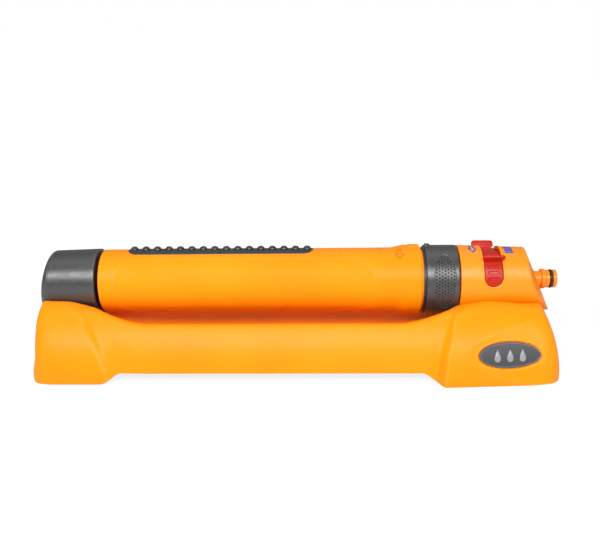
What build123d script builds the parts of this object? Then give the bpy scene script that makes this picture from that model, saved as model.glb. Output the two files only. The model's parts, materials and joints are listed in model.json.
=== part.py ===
from build123d import *
import math
import os

# Oscillating lawn sprinkler. Millimetres, +Z up, X along the barrel towards the hose connector,
# -Y to the front. The origin lies under the middle of the object, on the ground.

# Lengths along the axis, from the left end to the right
cap_inset = 1.5  # base's left end to the end cap's foot
cap_length = 51.5
barrel_gap = 3.0
tube_length = 252.0
collar_length = 26.0
ring_gap = 2.0
ring_width = 30.2
housing_gap = 1.0
housing_length = 70.5  # to the nose, on the axis
connector_reach = 17.0  # nose to connector tip
connector_overhang = 5.7  # connector tip beyond the base's right end

# Height and radii
axis_height = 71.5
cap_radius_left = 27.2
cap_radius_right = 28.6
cap_wall = 2.4
cap_slant = 9.0
cap_edge_radius = 5.0
barrel_radius_left = 27.7
barrel_radius_right = 28.2
barrel_wall = 2.5
collar_radius = 30.5
flare_length = 14.0
ring_radius = 30.3
ring_wall = 2.6
ring_rim_width = 2.2
ring_rim_depth = 1.0
housing_radius_left = 30.0
housing_radius_nose = 27.7
housing_wall = 1.9
nose_slant = 24.0
nose_bulge_radius = 55.0

# Clearances
running_gap = 0.1
fit_gap = 0.05
body_gap = 0.3

# Nozzle strips
strip_offset = 22.5  # barrel's left end to the strip's left end
strip_end = 5.475  # last nozzle's middle to the strip's end
strip_width = 19.5
strip_proud = 0.4
strip_floor = 0.8
strip_key_width = 8.0
strip_key_inset = 3.0
strip_seam = 0.2
nozzle_count = 16
nozzle_pitch = 10.15
strip_length = (nozzle_count - 1) * nozzle_pitch + 2 * strip_end
nozzle_radius = 3.5
nozzle_sink = 0.9
nozzle_bore = 0.7

# Barrel fittings
journal_radius = 8.0
journal_length = 15.0
plug_thickness = 8.0
seal_section = 1.2
bearing_thickness = 2.7
bearing_hub_radius = 11.0
bearing_hub_length = 12.0
feed_tube_radius = 7.0
feed_tube_wall = 1.4
disc_thickness = 3.0
spigot_length = 10.0
spigot_wall = 2.0
collar_end_wall = 4.0
index_pad = (10.0, 7.0, 0.9)
index_bump = (7.0, 5.0, 1.6)
selector_travel = 40.0
tab_half_angle = 6.0

# Limit sliders, at rest by the ends of their slot. Angles from the top towards the front.
slot_offset = 27.5  # housing's left end to the slot's middle
tongue_width = 15.4
tongue_proud = 0.4
tongue_end_angle = 87.0
flange_angle = 41.0
rear_slider_shift = 5.0  # rear slider nearer the top
flange_thickness = 2.2
flange_width = 16.8
flange_radius = 36.0
skirt_thickness = 0.9
skirt_margin = 2.0
slider_lug_angle = 50.0
slider_lug_depth = 3.4
slider_lug_half_angle = 5.0
grip_count = 3
grip_first_angle = 53.5
grip_step_angle = 10.3
grip_size = (9.4, 2.4)
grip_depth = 0.6
track_thickness = 1.2
track_margin = 4.0
housing_lip = 2.5

# Gearbox
cover_offset = 6.0  # housing's left end to the cover
cover_thickness = 2.5
case_wall = 1.5
case_length = 42.0
wheel_teeth = 24
pinion_teeth = 10
pressure_angle = 25.0
addendum = 0.8
dedendum = 1.15
tooth_play = 0.1
gear_width = 4.0
gear_gap = 0.8
axle_radius = 1.0
shaft_radius = 6.5
shaft_wall = 2.0
shaft_flange_radius = 13.0
plate_thickness = 2.0
sleeve_radius = 2.2
turbine_radius = 13.5
turbine_width = 7.0
turbine_blades = 10
blade_thickness = 1.0
rod_radius = 1.5
rod_height = 17.0
lever_size = (2.5, 5.0, 8.6)
deflector_size = (2.0, 9.0, 11.0)
dog_length = 2.4

# Hose connector
connector_bore = 4.6
connector_stem_radius = 7.0
connector_stem_length = 2.8  # gasket to the plug
connector_weld = 2.0
connector_plug_radius = 9.0
connector_plug_proud = 0.8
connector_neck_radius = 6.7
connector_collar_radius = 8.7
connector_collar_length = 3.5
connector_waist_radius = 7.75
connector_waist_length = 3.2
connector_groove_radius = 5.9
connector_groove_length = 3.4
connector_tip_radius = 7.9
connector_tip_length = 3.2
ring_seal_section = 1.15
filter_length = 16.0
filter_wall = 0.8
gasket_thickness = 1.2

# Base
left_foot_half = 66.0
right_foot_half = 73.0
rail_half = 64.5
rim_half_width = 30.0
rim_drop = 10.0  # cradle rim below the axis
right_rim_fall = 5.0  # right rim at its end, below the left rim
arch_radius = 66.0
foot_levels = (0.0, 0.35, 0.7, 0.9, 1.0)  # outlines of a foot, as shares of the rim's height
rail_top = 45.5
rail_bottom = 9.0
base_wall = 2.6
trough_inset = 13.0  # foot to the trough's full width
left_foot_length = 63.5
right_foot_length = 99.0
foot_rise_length = 18.0
left_corner_radius = 27.0
right_corner_radius = 28.0
rim_corner = 14.0
left_end_lean = 5.0
right_end_lean = 16.5
right_front_taper = 6.5
left_crease_lean = 25.0
right_crease_lean = 24.0
sweep_length = 64.0
left_sweep_start = 25.0
right_sweep_start = 71.0
barrel_clearance = 3.0
trough_radius = 45.0  # room round the barrel between the feet
screw_radius = 1.75
screw_head_radius = 3.6
screw_head_height = 2.4
screw_boss_radius = 4.2
screw_boss_height = 11.0
screw_bite = 7.0
cap_screw_places = (14.0, 30.0)
housing_screw_places = (8.0, 44.0)
badge_length = 51.0
badge_height = 21.3
badge_middle_height = 25.0
badge_offset = 47.0  # base's right end to the badge's middle
badge_proud = 0.8
badge_depth = 1.4

# Places along the axis, from the lengths
overall_length = (cap_inset + cap_length + barrel_gap + tube_length + collar_length + ring_gap
                  + ring_width + housing_gap + housing_length + connector_reach)
base_left = -overall_length / 2
cap_left = base_left + cap_inset
cap_right = cap_left + cap_length
barrel_left = cap_right + barrel_gap
tube_right = barrel_left + tube_length
collar_right = tube_right + collar_length
ring_left = collar_right + ring_gap
ring_right = ring_left + ring_width
housing_left = ring_right + housing_gap
nose_x = housing_left + housing_length
tip_x = nose_x + connector_reach
base_right = tip_x - connector_overhang
rim_height = axis_height - rim_drop
barrel_bore = barrel_radius_left - barrel_wall
ring_bore = ring_radius - ring_wall
neck_radius = ring_bore - running_gap
neck_right = ring_right + housing_gap / 2
strip_left = barrel_left + strip_offset
strip_middle = strip_left + strip_length / 2

# Stack inside the housing, from its bore inwards
housing_bore = housing_radius_nose - housing_wall
skirt_inner = housing_bore + running_gap
skirt_outer = skirt_inner + skirt_thickness
groove_radius = skirt_outer + running_gap
track_outer = housing_bore - fit_gap
track_inner = track_outer - track_thickness
case_outer = track_inner - fit_gap
case_inner = case_outer - case_wall
slot_middle = housing_left + slot_offset
slot_left = slot_middle - tongue_width / 2
slot_right = slot_middle + tongue_width / 2

# The gears fill the case: a wheel on the lower axle just clears its wall
wheel_and_centre = (wheel_teeth + pinion_teeth) / 2 + wheel_teeth / 2 + addendum
gear_module = (case_inner - body_gap) / wheel_and_centre
centre_distance = gear_module * (wheel_teeth + pinion_teeth) / 2
lay_height = axis_height - centre_distance
cover_left = housing_left + cover_offset
cover_right = cover_left + cover_thickness
case_right = cover_right + case_length
gear_left = [cover_right + gear_gap + index * (gear_width + gear_gap) for index in range(4)]
bearing_plate_left = gear_left[3] + gear_width + gear_gap
turbine_left = bearing_plate_left + plate_thickness + gear_gap
jet_plate_left = turbine_left + turbine_width + gear_gap
deflector_left = jet_plate_left + plate_thickness + body_gap
lever_left = cover_left - body_gap - lever_size[0]


def bar(x_from, x_to, radius, y=0.0, z=axis_height):
    """Round bar along X."""
    return Pos((x_from + x_to) / 2, y, z) * Rot(0, 90, 0) * Cylinder(radius, x_to - x_from)


def tube(x_from, x_to, outer, inner):
    """Round tube on the barrel's axis."""
    return bar(x_from, x_to, outer) - bar(x_from - 1, x_to + 1, inner)


def taper(x_from, x_to, radius_from, radius_to):
    """Round tapered bar on the barrel's axis."""
    if math.isclose(radius_from, radius_to):
        return bar(x_from, x_to, radius_from)
    place = Pos((x_from + x_to) / 2, 0, axis_height) * Rot(0, 90, 0)
    return place * Cone(radius_from, radius_to, x_to - x_from)


def outward(angle):
    """Direction away from the axis, at an angle from the top towards the front."""
    turn = math.radians(angle)
    return Vector(0, -math.sin(turn), math.cos(turn))


def sector(x_from, x_to, inner, outer, angle_from, angle_to):
    """Part of a tube on the barrel's axis, between two angles."""
    start = Plane((x_from, 0, axis_height), x_dir=outward(angle_from), z_dir=(1, 0, 0))
    pie = Cylinder(outer, x_to - x_from, arc_size=angle_to - angle_from, align=Align.NONE)
    return start * pie - bar(x_from - 1, x_to + 1, inner)


def radial_plane(x, angle, radius):
    """Plane on the axis's cylinder, facing outwards, with its x along the barrel."""
    middle = Vector(x, 0, axis_height) + outward(angle) * radius
    return Plane(middle, x_dir=(1, 0, 0), z_dir=outward(angle))


def lathe(edges):
    """Solid turned about the axis from edges in the XZ plane."""
    return revolve(Face(Wire(edges)), Axis((0, 0, axis_height), (1, 0, 0)), 360)


def at(x, radius):
    """Point above the axis, for turned outlines."""
    return (x, 0, axis_height + radius)


def sweep_between(start, end):
    """Two equal arcs from one level line to another."""
    middle = tuple((first + last) / 2 for first, last in zip(start, end))
    return [TangentArc(start, middle, tangent=(1, 0, 0)), TangentArc(end, middle, tangent=(-1, 0, 0))]


def housing_radius(x):
    """Outer radius of the drive housing."""
    share = (x - housing_left) / housing_length
    return housing_radius_left + (housing_radius_nose - housing_radius_left) * share


def cap_radius(x):
    """Outer radius of the end cap."""
    share = (x - cap_left) / cap_length
    return cap_radius_left + (cap_radius_right - cap_radius_left) * share


# Base

def arch_middle(ground_half):
    """Middle of the round arch that leads from a foot's edge on the ground to the cradle's rim."""
    chord = Vector(rim_half_width - ground_half, rim_height)
    reach = math.sqrt(arch_radius ** 2 - (chord.length / 2) ** 2)
    inward = Vector(-chord.Y, chord.X).normalized()
    return Vector(ground_half, 0) + chord / 2 + inward * reach


def arch_half_width(ground_half, height):
    """Half width of the base at a height."""
    middle = arch_middle(ground_half)
    return middle.X + math.sqrt(arch_radius ** 2 - (height - middle.Y) ** 2)


def foot_outline(height, outer_x, inner_x, half_width, end_half_width, corner):
    """Outline of a foot at one height, with round corners at the object's end."""
    outline = Polyline((inner_x, -half_width), (outer_x, -end_half_width), (outer_x, end_half_width),
                       (inner_x, half_width), close=True)
    face = make_face(outline)
    ends = [corner_point for corner_point in face.vertices() if math.isclose(corner_point.X, outer_x)]
    return Pos(0, 0, height) * fillet(ends, corner)


def foot(outer_x, inner_x, ground_half, end_taper, corner, end_lean, lean_growth, inner_lean, inset):
    """Solid foot through outlines at several heights. The leans are taken up to the cradle's rim."""
    inward = 1 if outer_x < inner_x else -1
    outlines = []
    for share in foot_levels:
        height = share * (rim_height - inset)
        half_width = arch_half_width(ground_half, share * rim_height) - inset
        outer = outer_x + inward * (inset + end_lean * share ** lean_growth)
        inner = inner_x - inward * (inset + inner_lean * share)
        radius = corner - inset - share * (corner - rim_corner)
        taper_here = end_taper * (1 - share)
        outlines.append(foot_outline(height, outer, inner, half_width, half_width - taper_here, radius))
    return loft(outlines)


def feet(inset):
    """Both feet, or their hollows."""
    left = foot(base_left, base_left + left_foot_length, left_foot_half, 0.0, left_corner_radius,
                left_end_lean, 1.0, left_crease_lean, inset)
    right = foot(base_right, base_right - right_foot_length, right_foot_half, right_front_taper,
                 right_corner_radius, right_end_lean, 2.0, right_crease_lean, inset)
    return left + right


def rails(inset):
    """Arched bars between the feet, through the base's whole width."""
    left = base_left + left_corner_radius + inset
    right = base_right - right_corner_radius - inset
    middle = arch_middle(rail_half)
    front = bar(left, right, arch_radius - inset, -middle.X, middle.Y)
    rear = bar(left, right, arch_radius - inset, middle.X, middle.Y)
    height = rim_height - inset
    half_width = rail_half - inset
    span = Pos((left + right) / 2, 0, height / 2) * Box(right - left, 2 * half_width, height)
    core = Pos((left + right) / 2, 0, height / 2) * Box(right - left, 2 * rim_half_width, height)
    return (span & (front + rear)) + core


def side_profile(inset, opened):
    """Form of the base seen from the front: swept top edge and raised rails."""
    top = rail_top - inset
    rim = rim_height - inset
    left = base_left - 1
    right = base_right + 1
    ground = -1.0 if opened else 0.0
    left_sweep = (base_left + left_sweep_start, 0, rim)
    left_rail = (base_left + left_sweep_start + sweep_length, 0, top)
    right_sweep = (base_right - right_sweep_start, 0, rim)
    right_rail = (base_right - right_sweep_start - sweep_length, 0, top)
    right_end = (right, 0, rim - right_rim_fall)
    upper = [Line((left, 0, rim), left_sweep), *sweep_between(left_sweep, left_rail),
             Line(left_rail, right_rail),
             *sweep_between(right_rail, right_sweep), Line(right_sweep, right_end)]
    left_foot_end = (base_left + left_foot_length, 0, ground)
    right_foot_end = (base_right - right_foot_length, 0, ground)
    left_rise = (base_left + left_foot_length + foot_rise_length, 0, rail_bottom)
    right_rise = (base_right - right_foot_length - foot_rise_length, 0, rail_bottom)
    under = [Line(left_foot_end, right_foot_end)]
    if not opened:
        under = [*sweep_between(left_foot_end, left_rise), Line(left_rise, right_rise),
                 *sweep_between(right_rise, right_foot_end)]
    lower = [Line((left, 0, ground), left_foot_end), *under, Line(right_foot_end, (right, 0, ground))]
    ends = [Line((left, 0, ground), (left, 0, rim)), Line((right, 0, ground), right_end)]
    face = Face(Wire([*upper, *lower, *ends]))
    return extrude(face, amount=right_foot_half + 1, dir=(0, 1, 0), both=True)


def base_body(inset, opened):
    """Outer form of the base, or its hollow if it is opened downwards."""
    return side_profile(inset, opened) & (feet(inset) + rails(inset))


def cradles(margin):
    """Room in the base for the cap, the barrel, the ring and the housing."""
    far = base_right + 5
    near = cap_left - 10
    start = housing_left - 0.5
    left = base_left + left_foot_length + trough_inset
    right = base_right - right_foot_length - trough_inset
    cap = taper(near, cap_right + 1, cap_radius(near) + margin, cap_radius(cap_right + 1) + margin)
    barrel_room = barrel_radius_left + barrel_clearance + margin
    trough = taper(cap_right, left, barrel_room, trough_radius + margin)
    trough += bar(left, right, trough_radius + margin)
    trough += taper(right, housing_left, trough_radius + margin, collar_radius + barrel_clearance + margin)
    housing = taper(start, far, housing_radius(start) + margin, housing_radius(far) + margin)
    return cap + trough + housing


def badge_plane():
    """Plane on the right foot's front face, at the badge's middle."""
    middle = arch_middle(right_foot_half)
    x = base_right - badge_offset
    share = badge_offset / right_foot_length
    half_width = arch_half_width(right_foot_half, badge_middle_height) - right_front_taper * (1 - share)
    rise = (badge_middle_height - middle.Y) / arch_radius
    turn = right_front_taper / right_foot_length
    return Plane((x, -half_width, badge_middle_height), x_dir=(1, turn, 0), z_dir=(turn, -1, rise))


def badge_prism(low, high, margin):
    """Oval plate on the right foot, between two levels of its plane."""
    oval = Ellipse(badge_length / 2 + margin, badge_height / 2 + margin)
    return badge_plane() * Pos(0, 0, low) * extrude(oval, amount=high - low)


def base_frame():
    """Yellow moulding: two rails, two feet and two cradles, hollow underneath."""
    hollow = base_body(base_wall, True) - cradles(base_wall + fit_gap)
    hollow -= badge_prism(-badge_depth - base_wall, badge_depth, base_wall)
    shape = base_body(0.0, False) - hollow - cradles(fit_gap)
    shape -= badge_prism(-badge_depth - fit_gap, 3 * badge_depth, fit_gap)
    for x, radius in screw_places():
        shape -= Pos(x, 0, axis_height - radius) * Cylinder(screw_radius + fit_gap, 4 * base_wall)
    return shape.solids().sort_by(SortBy.VOLUME)[-1]


def front_badge():
    """Plain oval badge let into the right foot."""
    return badge_prism(-badge_depth, badge_proud, 0.0)


def screw_places():
    """Middles of the screws under the cap and the housing, with the radius they hold."""
    caps = [(cap_left + place, cap_radius(cap_left + place)) for place in cap_screw_places]
    housing_places = [housing_left + place for place in housing_screw_places]
    return caps + [(place, housing_radius(place)) for place in housing_places]


def screw(x, radius, bite):
    """Upright screw from under a cradle."""
    seat = axis_height - radius - base_wall - body_gap
    shank_length = base_wall + bite
    shank = Pos(x, 0, seat + shank_length / 2) * Cylinder(screw_radius, shank_length)
    head = Pos(x, 0, seat - screw_head_height / 2) * Cylinder(screw_head_radius, screw_head_height)
    return head + shank


def cap_screws():
    """Screws that hold the end cap."""
    return Compound([screw(x, radius, screw_bite) for x, radius in screw_places()[:2]])


def housing_screws():
    """Screws that hold the drive housing."""
    places = screw_places()[2:]
    return Compound([screw(x, radius, radius - housing_bore - body_gap) for x, radius in places])


# Left end

def right_of_cap_end(inset):
    """Everything to the right of the cap's leaning end face."""
    lean = math.radians(cap_slant)
    low_point = (cap_left + inset, 0, axis_height - cap_radius_right)
    plane = Plane(low_point, x_dir=(0, 1, 0), z_dir=(math.cos(lean), 0, -math.sin(lean)))
    block = 4 * cap_length
    return plane * Pos(0, 0, block / 2) * Box(block, block, block)


def end_cap():
    """Grey cap over the barrel's left bearing, open to the right."""
    near = cap_left - 10
    shape = taper(near, cap_right, cap_radius(near), cap_radius_right) & right_of_cap_end(0.0)
    shape = fillet(shape.edges().group_by(Axis.X)[0], cap_edge_radius)
    far = cap_right + 1
    room = taper(near, far, cap_radius(near) - cap_wall, cap_radius(far) - cap_wall)
    room &= right_of_cap_end(cap_wall)
    shape -= room
    for x, radius in screw_places()[:2]:
        boss = Pos(x, 0, axis_height - radius + screw_boss_height / 2 + cap_wall / 4)
        shape += boss * Cylinder(screw_boss_radius, screw_boss_height)
        shape -= Pos(x, 0, axis_height - radius) * Cylinder(screw_radius + fit_gap, 2 * screw_bite + 1)
    return shape


def end_bearing():
    """Flanged bush that closes the end cap and carries the journal."""
    right = cap_right - body_gap
    flange_radius_here = cap_radius(right - bearing_thickness) - cap_wall - fit_gap
    shape = bar(right - bearing_thickness, right, flange_radius_here)
    shape += bar(right - bearing_thickness - bearing_hub_length, right, bearing_hub_radius)
    return shape - bar(cap_left, right + 1, journal_radius + running_gap)


# Barrel

def strip_prism(length, width, margin):
    """Upright block with the strip's round-ended outline, above the axis."""
    outline = Pos(strip_middle, 0, axis_height) * SlotOverall(length + 2 * margin, width + 2 * margin)
    return extrude(outline, amount=2 * barrel_radius_right)


def key_prism(margin):
    """Upright block for the key under the strip."""
    return strip_prism(strip_length - 2 * strip_key_inset, strip_key_width, margin)


def spray_barrel():
    """Yellow tube with a pocket and a slot on top for the nozzle strips."""
    shape = taper(barrel_left, tube_right, barrel_radius_left, barrel_radius_right)
    shape = fillet(shape.edges().group_by(Axis.X)[0], 1.2)
    shape -= bar(barrel_left - 1, tube_right + 1, barrel_bore)
    pocket_floor = bar(barrel_left - 1, tube_right + 1, barrel_bore + strip_floor)
    shape -= strip_prism(strip_length, strip_width, fit_gap) - pocket_floor
    return shape - key_prism(fit_gap)


def nozzle_strip(first, last, x_from, x_to):
    """Soft grey strip with its share of the domed nozzles."""
    outer = barrel_radius_right + strip_proud
    skin = tube(x_from, x_to, outer, barrel_bore + strip_floor + fit_gap)
    pad = strip_prism(strip_length, strip_width, 0.0) & skin
    key = key_prism(0.0) & tube(x_from, x_to, outer, barrel_bore)
    shape = pad + key
    start = strip_middle - nozzle_pitch * (nozzle_count - 1) / 2
    for index in range(first, last):
        middle = start + index * nozzle_pitch
        dome = Pos(middle, 0, axis_height + outer - nozzle_sink) * Sphere(nozzle_radius)
        shape += dome - bar(middle - 10, middle + 10, barrel_bore + strip_floor + 1)
    for index in range(first, last):
        middle = start + index * nozzle_pitch
        shape -= Pos(middle, 0, axis_height + outer) * Cylinder(nozzle_bore, 20)
    return shape


def barrel_end_plug():
    """Plug in the barrel's left end, with the journal."""
    left = barrel_left + body_gap
    shape = bar(left, left + plug_thickness, barrel_bore - fit_gap)
    shape += bar(barrel_left - journal_length, left + 1, journal_radius)
    return shape - plug_groove()


def plug_groove():
    """Ring-shaped room round the plug for its O-ring."""
    middle = barrel_left + body_gap + plug_thickness / 2
    half = seal_section + fit_gap
    return tube(middle - half, middle + half, barrel_bore + 1, barrel_bore - 2 * half)


def plug_o_ring():
    """O-ring round the end plug."""
    middle = barrel_left + body_gap + plug_thickness / 2
    seal_radius = barrel_bore - seal_section - fit_gap
    ring = Pos(middle, 0, axis_height) * Rot(0, 90, 0) * Torus(seal_radius, seal_section)
    return ring


def barrel_collar():
    """Flared collar on the barrel's right end, with the neck that the selector ring turns on."""
    flare_end = tube_right + flare_length
    wall_left = neck_right - collar_end_wall
    shaft_room = shaft_radius + fit_gap
    outline = [*sweep_between(at(tube_right, barrel_radius_right), at(flare_end, collar_radius)),
               Line(at(flare_end, collar_radius), at(collar_right, collar_radius)),
               Line(at(collar_right, collar_radius), at(collar_right, neck_radius)),
               Line(at(collar_right, neck_radius), at(neck_right, neck_radius)),
               Line(at(neck_right, neck_radius), at(neck_right, shaft_room)),
               Line(at(neck_right, shaft_room), at(wall_left, shaft_room)),
               Line(at(wall_left, shaft_room), at(wall_left, barrel_bore)),
               Line(at(wall_left, barrel_bore), at(tube_right, barrel_bore)),
               Line(at(tube_right, barrel_bore), at(tube_right, barrel_radius_right))]
    shape = lathe(outline)
    spigot_bore = barrel_bore - spigot_wall
    shape += tube(tube_right - spigot_length, tube_right + 2, barrel_bore - fit_gap, spigot_bore)
    shape += tube(tube_right, tube_right + 2, barrel_bore + 1, spigot_bore)
    pad = Pos(collar_right - index_pad[0] / 2, 0, axis_height + collar_radius)
    shape += pad * Box(index_pad[0], index_pad[1], 2 * index_pad[2])
    disc_left = valve_disc_left()
    slot_from = 180 - tab_half_angle - 2
    slot_to = 180 + tab_half_angle + selector_travel + 2
    disc_right = disc_left + disc_thickness
    shape -= sector(disc_left - body_gap, disc_right + body_gap, barrel_bore - 1, neck_radius + 1,
                    slot_from, slot_to)
    dog = sector(neck_right - 1, neck_right + dog_length, rod_height, rod_height + 3, -4, 4)
    return shape + dog


def valve_disc_left():
    """Left face of the valve disc, under the selector ring."""
    return ring_left + ring_width / 3


def port_windows(x_from, x_to, angles):
    """Two round-sided windows through a disc."""
    inner = feed_tube_radius + 3
    outer = barrel_bore - 4
    return [sector(x_from - 1, x_to + 1, inner, outer, angle - 30, angle + 30) for angle in angles]


def valve_disc():
    """Disc that the selector ring turns to shut one half of the spray."""
    left = valve_disc_left()
    shape = bar(left, left + disc_thickness, barrel_bore - body_gap)
    shape += sector(left, left + disc_thickness, barrel_bore - 5, ring_bore + 1.2, 180 - tab_half_angle,
                    180 + tab_half_angle)
    for opening in port_windows(left, left + disc_thickness, (0, 90)):
        shape -= opening
    return shape - bar(left - 1, left + disc_thickness + 1, feed_tube_radius - feed_tube_wall)


def port_plate():
    """Fixed plate with a port to the near chamber and one to the feed tube."""
    right = valve_disc_left() - body_gap
    shape = bar(right - disc_thickness, right, barrel_bore - fit_gap)
    for opening in port_windows(right - disc_thickness, right, (0, 180)):
        shape -= opening
    return shape - bar(tube_right, ring_right, feed_tube_radius + fit_gap)


def feed_tube():
    """Inner tube that leads water past the near chamber to the far one."""
    right = valve_disc_left() - body_gap
    left = strip_middle - disc_thickness / 2
    return tube(left, right, feed_tube_radius, feed_tube_radius - feed_tube_wall)


def barrel_divider():
    """Wall between the two chambers of the barrel."""
    left = strip_middle - disc_thickness / 2
    return tube(left, left + disc_thickness, barrel_bore - fit_gap, feed_tube_radius + fit_gap)


def selector_ring():
    """Grey ring that turns on the collar's neck."""
    shape = tube(ring_left + ring_rim_width, ring_right, ring_radius, ring_bore)
    shape = fillet(shape.edges().group_by(Axis.X)[-1].sort_by(SortBy.RADIUS)[-1:], 1.0)
    shape += tube(ring_left, ring_left + ring_rim_width + 1, ring_radius - ring_rim_depth, ring_bore)
    bump = Pos(ring_left + 1 + index_bump[0] / 2, 0, axis_height + ring_radius - 0.3)
    shape += bump * Box(index_bump[0], index_bump[1], 2 * index_bump[2])
    left = valve_disc_left()
    right = left + disc_thickness
    room = tab_half_angle + 0.2
    return shape - sector(left - fit_gap, right + fit_gap, ring_bore - 1, ring_bore + 1.2 + fit_gap,
                          180 - room, 180 + room)


# Housing and sliders

def nose_body(offset):
    """Round upright bar, leaning back, whose right side is the housing's nose."""
    lean = math.radians(nose_slant)
    forward = Vector(math.cos(lean), 0, math.sin(lean))
    upward = Vector(-math.sin(lean), 0, math.cos(lean))
    middle = Vector(nose_x, 0, axis_height) - forward * nose_bulge_radius
    return Plane(middle, x_dir=forward, z_dir=upward) * Cylinder(nose_bulge_radius + offset, 200)


def slot_cut(margin):
    """Round-ended slot in the housing, across its top."""
    turn = math.degrees((tongue_width / 2) / housing_radius(slot_middle))
    end = tongue_end_angle - turn
    left = slot_left - margin
    right = slot_right + margin
    shape = sector(left, right, housing_bore - 2, housing_radius_left + 10, -end, end)
    for angle in (-end, end):
        end_plane = radial_plane(slot_middle, angle, housing_radius_left)
        shape += end_plane * Cylinder(tongue_width / 2 + margin, 16)
    return shape


def drive_housing():
    """Yellow shell of the drive, with the slider slot and the slanted nose."""
    far = nose_x + 40
    shape = taper(housing_left, far, housing_radius_left, housing_radius(far)) & nose_body(0.0)
    room = bar(housing_left - 1, far, housing_bore) & nose_body(-housing_wall - 0.5)
    shape -= room
    groove_to = slot_right + skirt_margin + body_gap
    shape -= tube(housing_left + housing_lip, groove_to, groove_radius, housing_bore - 1)
    shape -= slot_cut(body_gap)
    shape -= bar(nose_x - 30, far, connector_plug_radius + fit_gap)
    for x, radius in screw_places()[2:]:
        shape -= Pos(x, 0, axis_height - radius) * Cylinder(screw_radius + fit_gap, 12)
    return shape.solids().sort_by(SortBy.VOLUME)[-1]


def slider_track():
    """Red ring under the slot, which the sliders ride on."""
    return tube(slot_left - track_margin, slot_right + track_margin, track_outer, track_inner)


def limit_slider(side):
    """Red slider: tongue in the slot, upright flange, grip grooves and inner lug. Side is 1 in front."""
    turn = math.degrees((tongue_width / 2) / housing_radius(slot_middle))
    round_middle = tongue_end_angle - turn
    far = nose_x + 40
    outer = taper(housing_left, far, housing_radius_left + tongue_proud, housing_radius(far) + tongue_proud)
    tongue_low = skirt_outer - skirt_thickness / 3
    tongue = ordered_sector(slot_left, slot_right, tongue_low, housing_radius_left + 5, flange_angle - 2,
                            round_middle, side)
    end_plane = radial_plane(slot_middle, side * round_middle, housing_radius_left)
    tongue += end_plane * Cylinder(tongue_width / 2, 16)
    tongue = (tongue & outer) - bar(housing_left, far, tongue_low)
    lug_left = lever_left
    skirt_end = round_middle + 4
    skirt = ordered_sector(slot_left - skirt_margin, slot_right + skirt_margin, skirt_inner, skirt_outer,
                           flange_angle - 1, skirt_end, side)
    lug_from = slider_lug_angle - slider_lug_half_angle
    lug_to = slider_lug_angle + slider_lug_half_angle
    finger = ordered_sector(lug_left, slot_left, skirt_inner, skirt_outer, lug_from, lug_to, side)
    lug = ordered_sector(lug_left, lug_left + lever_size[0], skirt_inner - slider_lug_depth, skirt_outer,
                         lug_from, lug_to, side)
    foot_height = housing_radius_left + body_gap - skirt_outer
    flange_foot = radial_plane(slot_middle, side * flange_angle, skirt_outer + foot_height / 2)
    flange = flange_foot * Box(tongue_width - running_gap, flange_thickness, foot_height)
    plate_low = housing_radius_left + body_gap
    plate = radial_plane(slot_middle, side * flange_angle, (plate_low + flange_radius) / 2)
    flange += plate * Box(flange_width, flange_thickness, flange_radius - plate_low)
    shape = tongue + skirt + finger + lug + flange
    for index in range(grip_count):
        angle = side * (grip_first_angle + index * grip_step_angle)
        surface = housing_radius(slot_middle) + tongue_proud
        pill = extrude(SlotOverall(grip_size[0], grip_size[1]), amount=4)
        shape -= radial_plane(slot_middle, angle, surface - grip_depth) * pill
    if side > 0:
        return shape
    return shape.rotate(Axis((0, 0, axis_height), (1, 0, 0)), rear_slider_shift)


def ordered_sector(x_from, x_to, inner, outer, angle_from, angle_to, side):
    """Sector in front, or its mirror image behind."""
    if side > 0:
        return sector(x_from, x_to, inner, outer, angle_from, angle_to)
    return sector(x_from, x_to, inner, outer, -angle_to, -angle_from)


# Gearbox

def gear_face(teeth, tooth_angle):
    """Flat gear outline with involute flanks, as a face in the YZ plane round the origin."""
    pitch = gear_module * teeth / 2
    base = pitch * math.cos(math.radians(pressure_angle))
    tip = pitch + addendum * gear_module
    root = pitch - dedendum * gear_module
    half_tooth = (math.pi * gear_module / 2 - tooth_play) / (2 * pitch)

    def roll(radius):
        slope = math.acos(min(1.0, base / radius))
        return math.tan(slope) - slope

    lowest = max(base, root)
    flank_radii = [lowest + (tip - lowest) * step / 3 for step in range(4)]
    flank = [(radius, half_tooth + roll(pitch) - roll(radius)) for radius in flank_radii]
    flank = [(root, flank[0][1])] * (root < lowest) + flank
    points = []
    for tooth in range(teeth):
        middle = math.radians(tooth_angle + 360 * tooth / teeth)
        points += [(radius, middle - half) for radius, half in flank]
        points += [(radius, middle + half) for radius, half in reversed(flank)]
    return make_face(Polyline(*[(0, r * math.cos(a), r * math.sin(a)) for r, a in points], close=True))


def gear(teeth, tooth_angle, x_from, x_to, height):
    """Gear on the axis at a height, with a tooth at an angle from +Y towards +Z."""
    solid = extrude(gear_face(teeth, tooth_angle), amount=x_to - x_from, dir=(1, 0, 0))
    return Pos(x_from, 0, height) * solid


def wheel(plane, height, tooth_angle):
    """Large gear in one of the four gear planes."""
    return gear(wheel_teeth, tooth_angle, gear_left[plane], gear_left[plane] + gear_width, height)


def pinion(plane, height, gap_angle, reach):
    """Small gear with a tooth gap at an angle, reaching past its plane to the next wheel."""
    tooth_angle = gap_angle + 180 / pinion_teeth
    return gear(pinion_teeth, tooth_angle, gear_left[plane], gear_left[plane] + gear_width + reach, height)


def compound_gear(plane, height, towards):
    """Pinion and wheel in one piece, loose on an axle. Towards is the angle to the other axle."""
    shape = pinion(plane, height, towards, gear_gap + 1) + wheel(plane + 1, height, towards)
    left = gear_left[plane] - 1
    return shape - bar(left, gear_left[plane + 1] + gear_width + 1, axle_radius + fit_gap, 0, height)


def output_gear():
    """Gear on the output shaft."""
    return wheel(0, axis_height, -90) - bar(cover_left, turbine_left, shaft_radius + fit_gap / 2)


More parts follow.
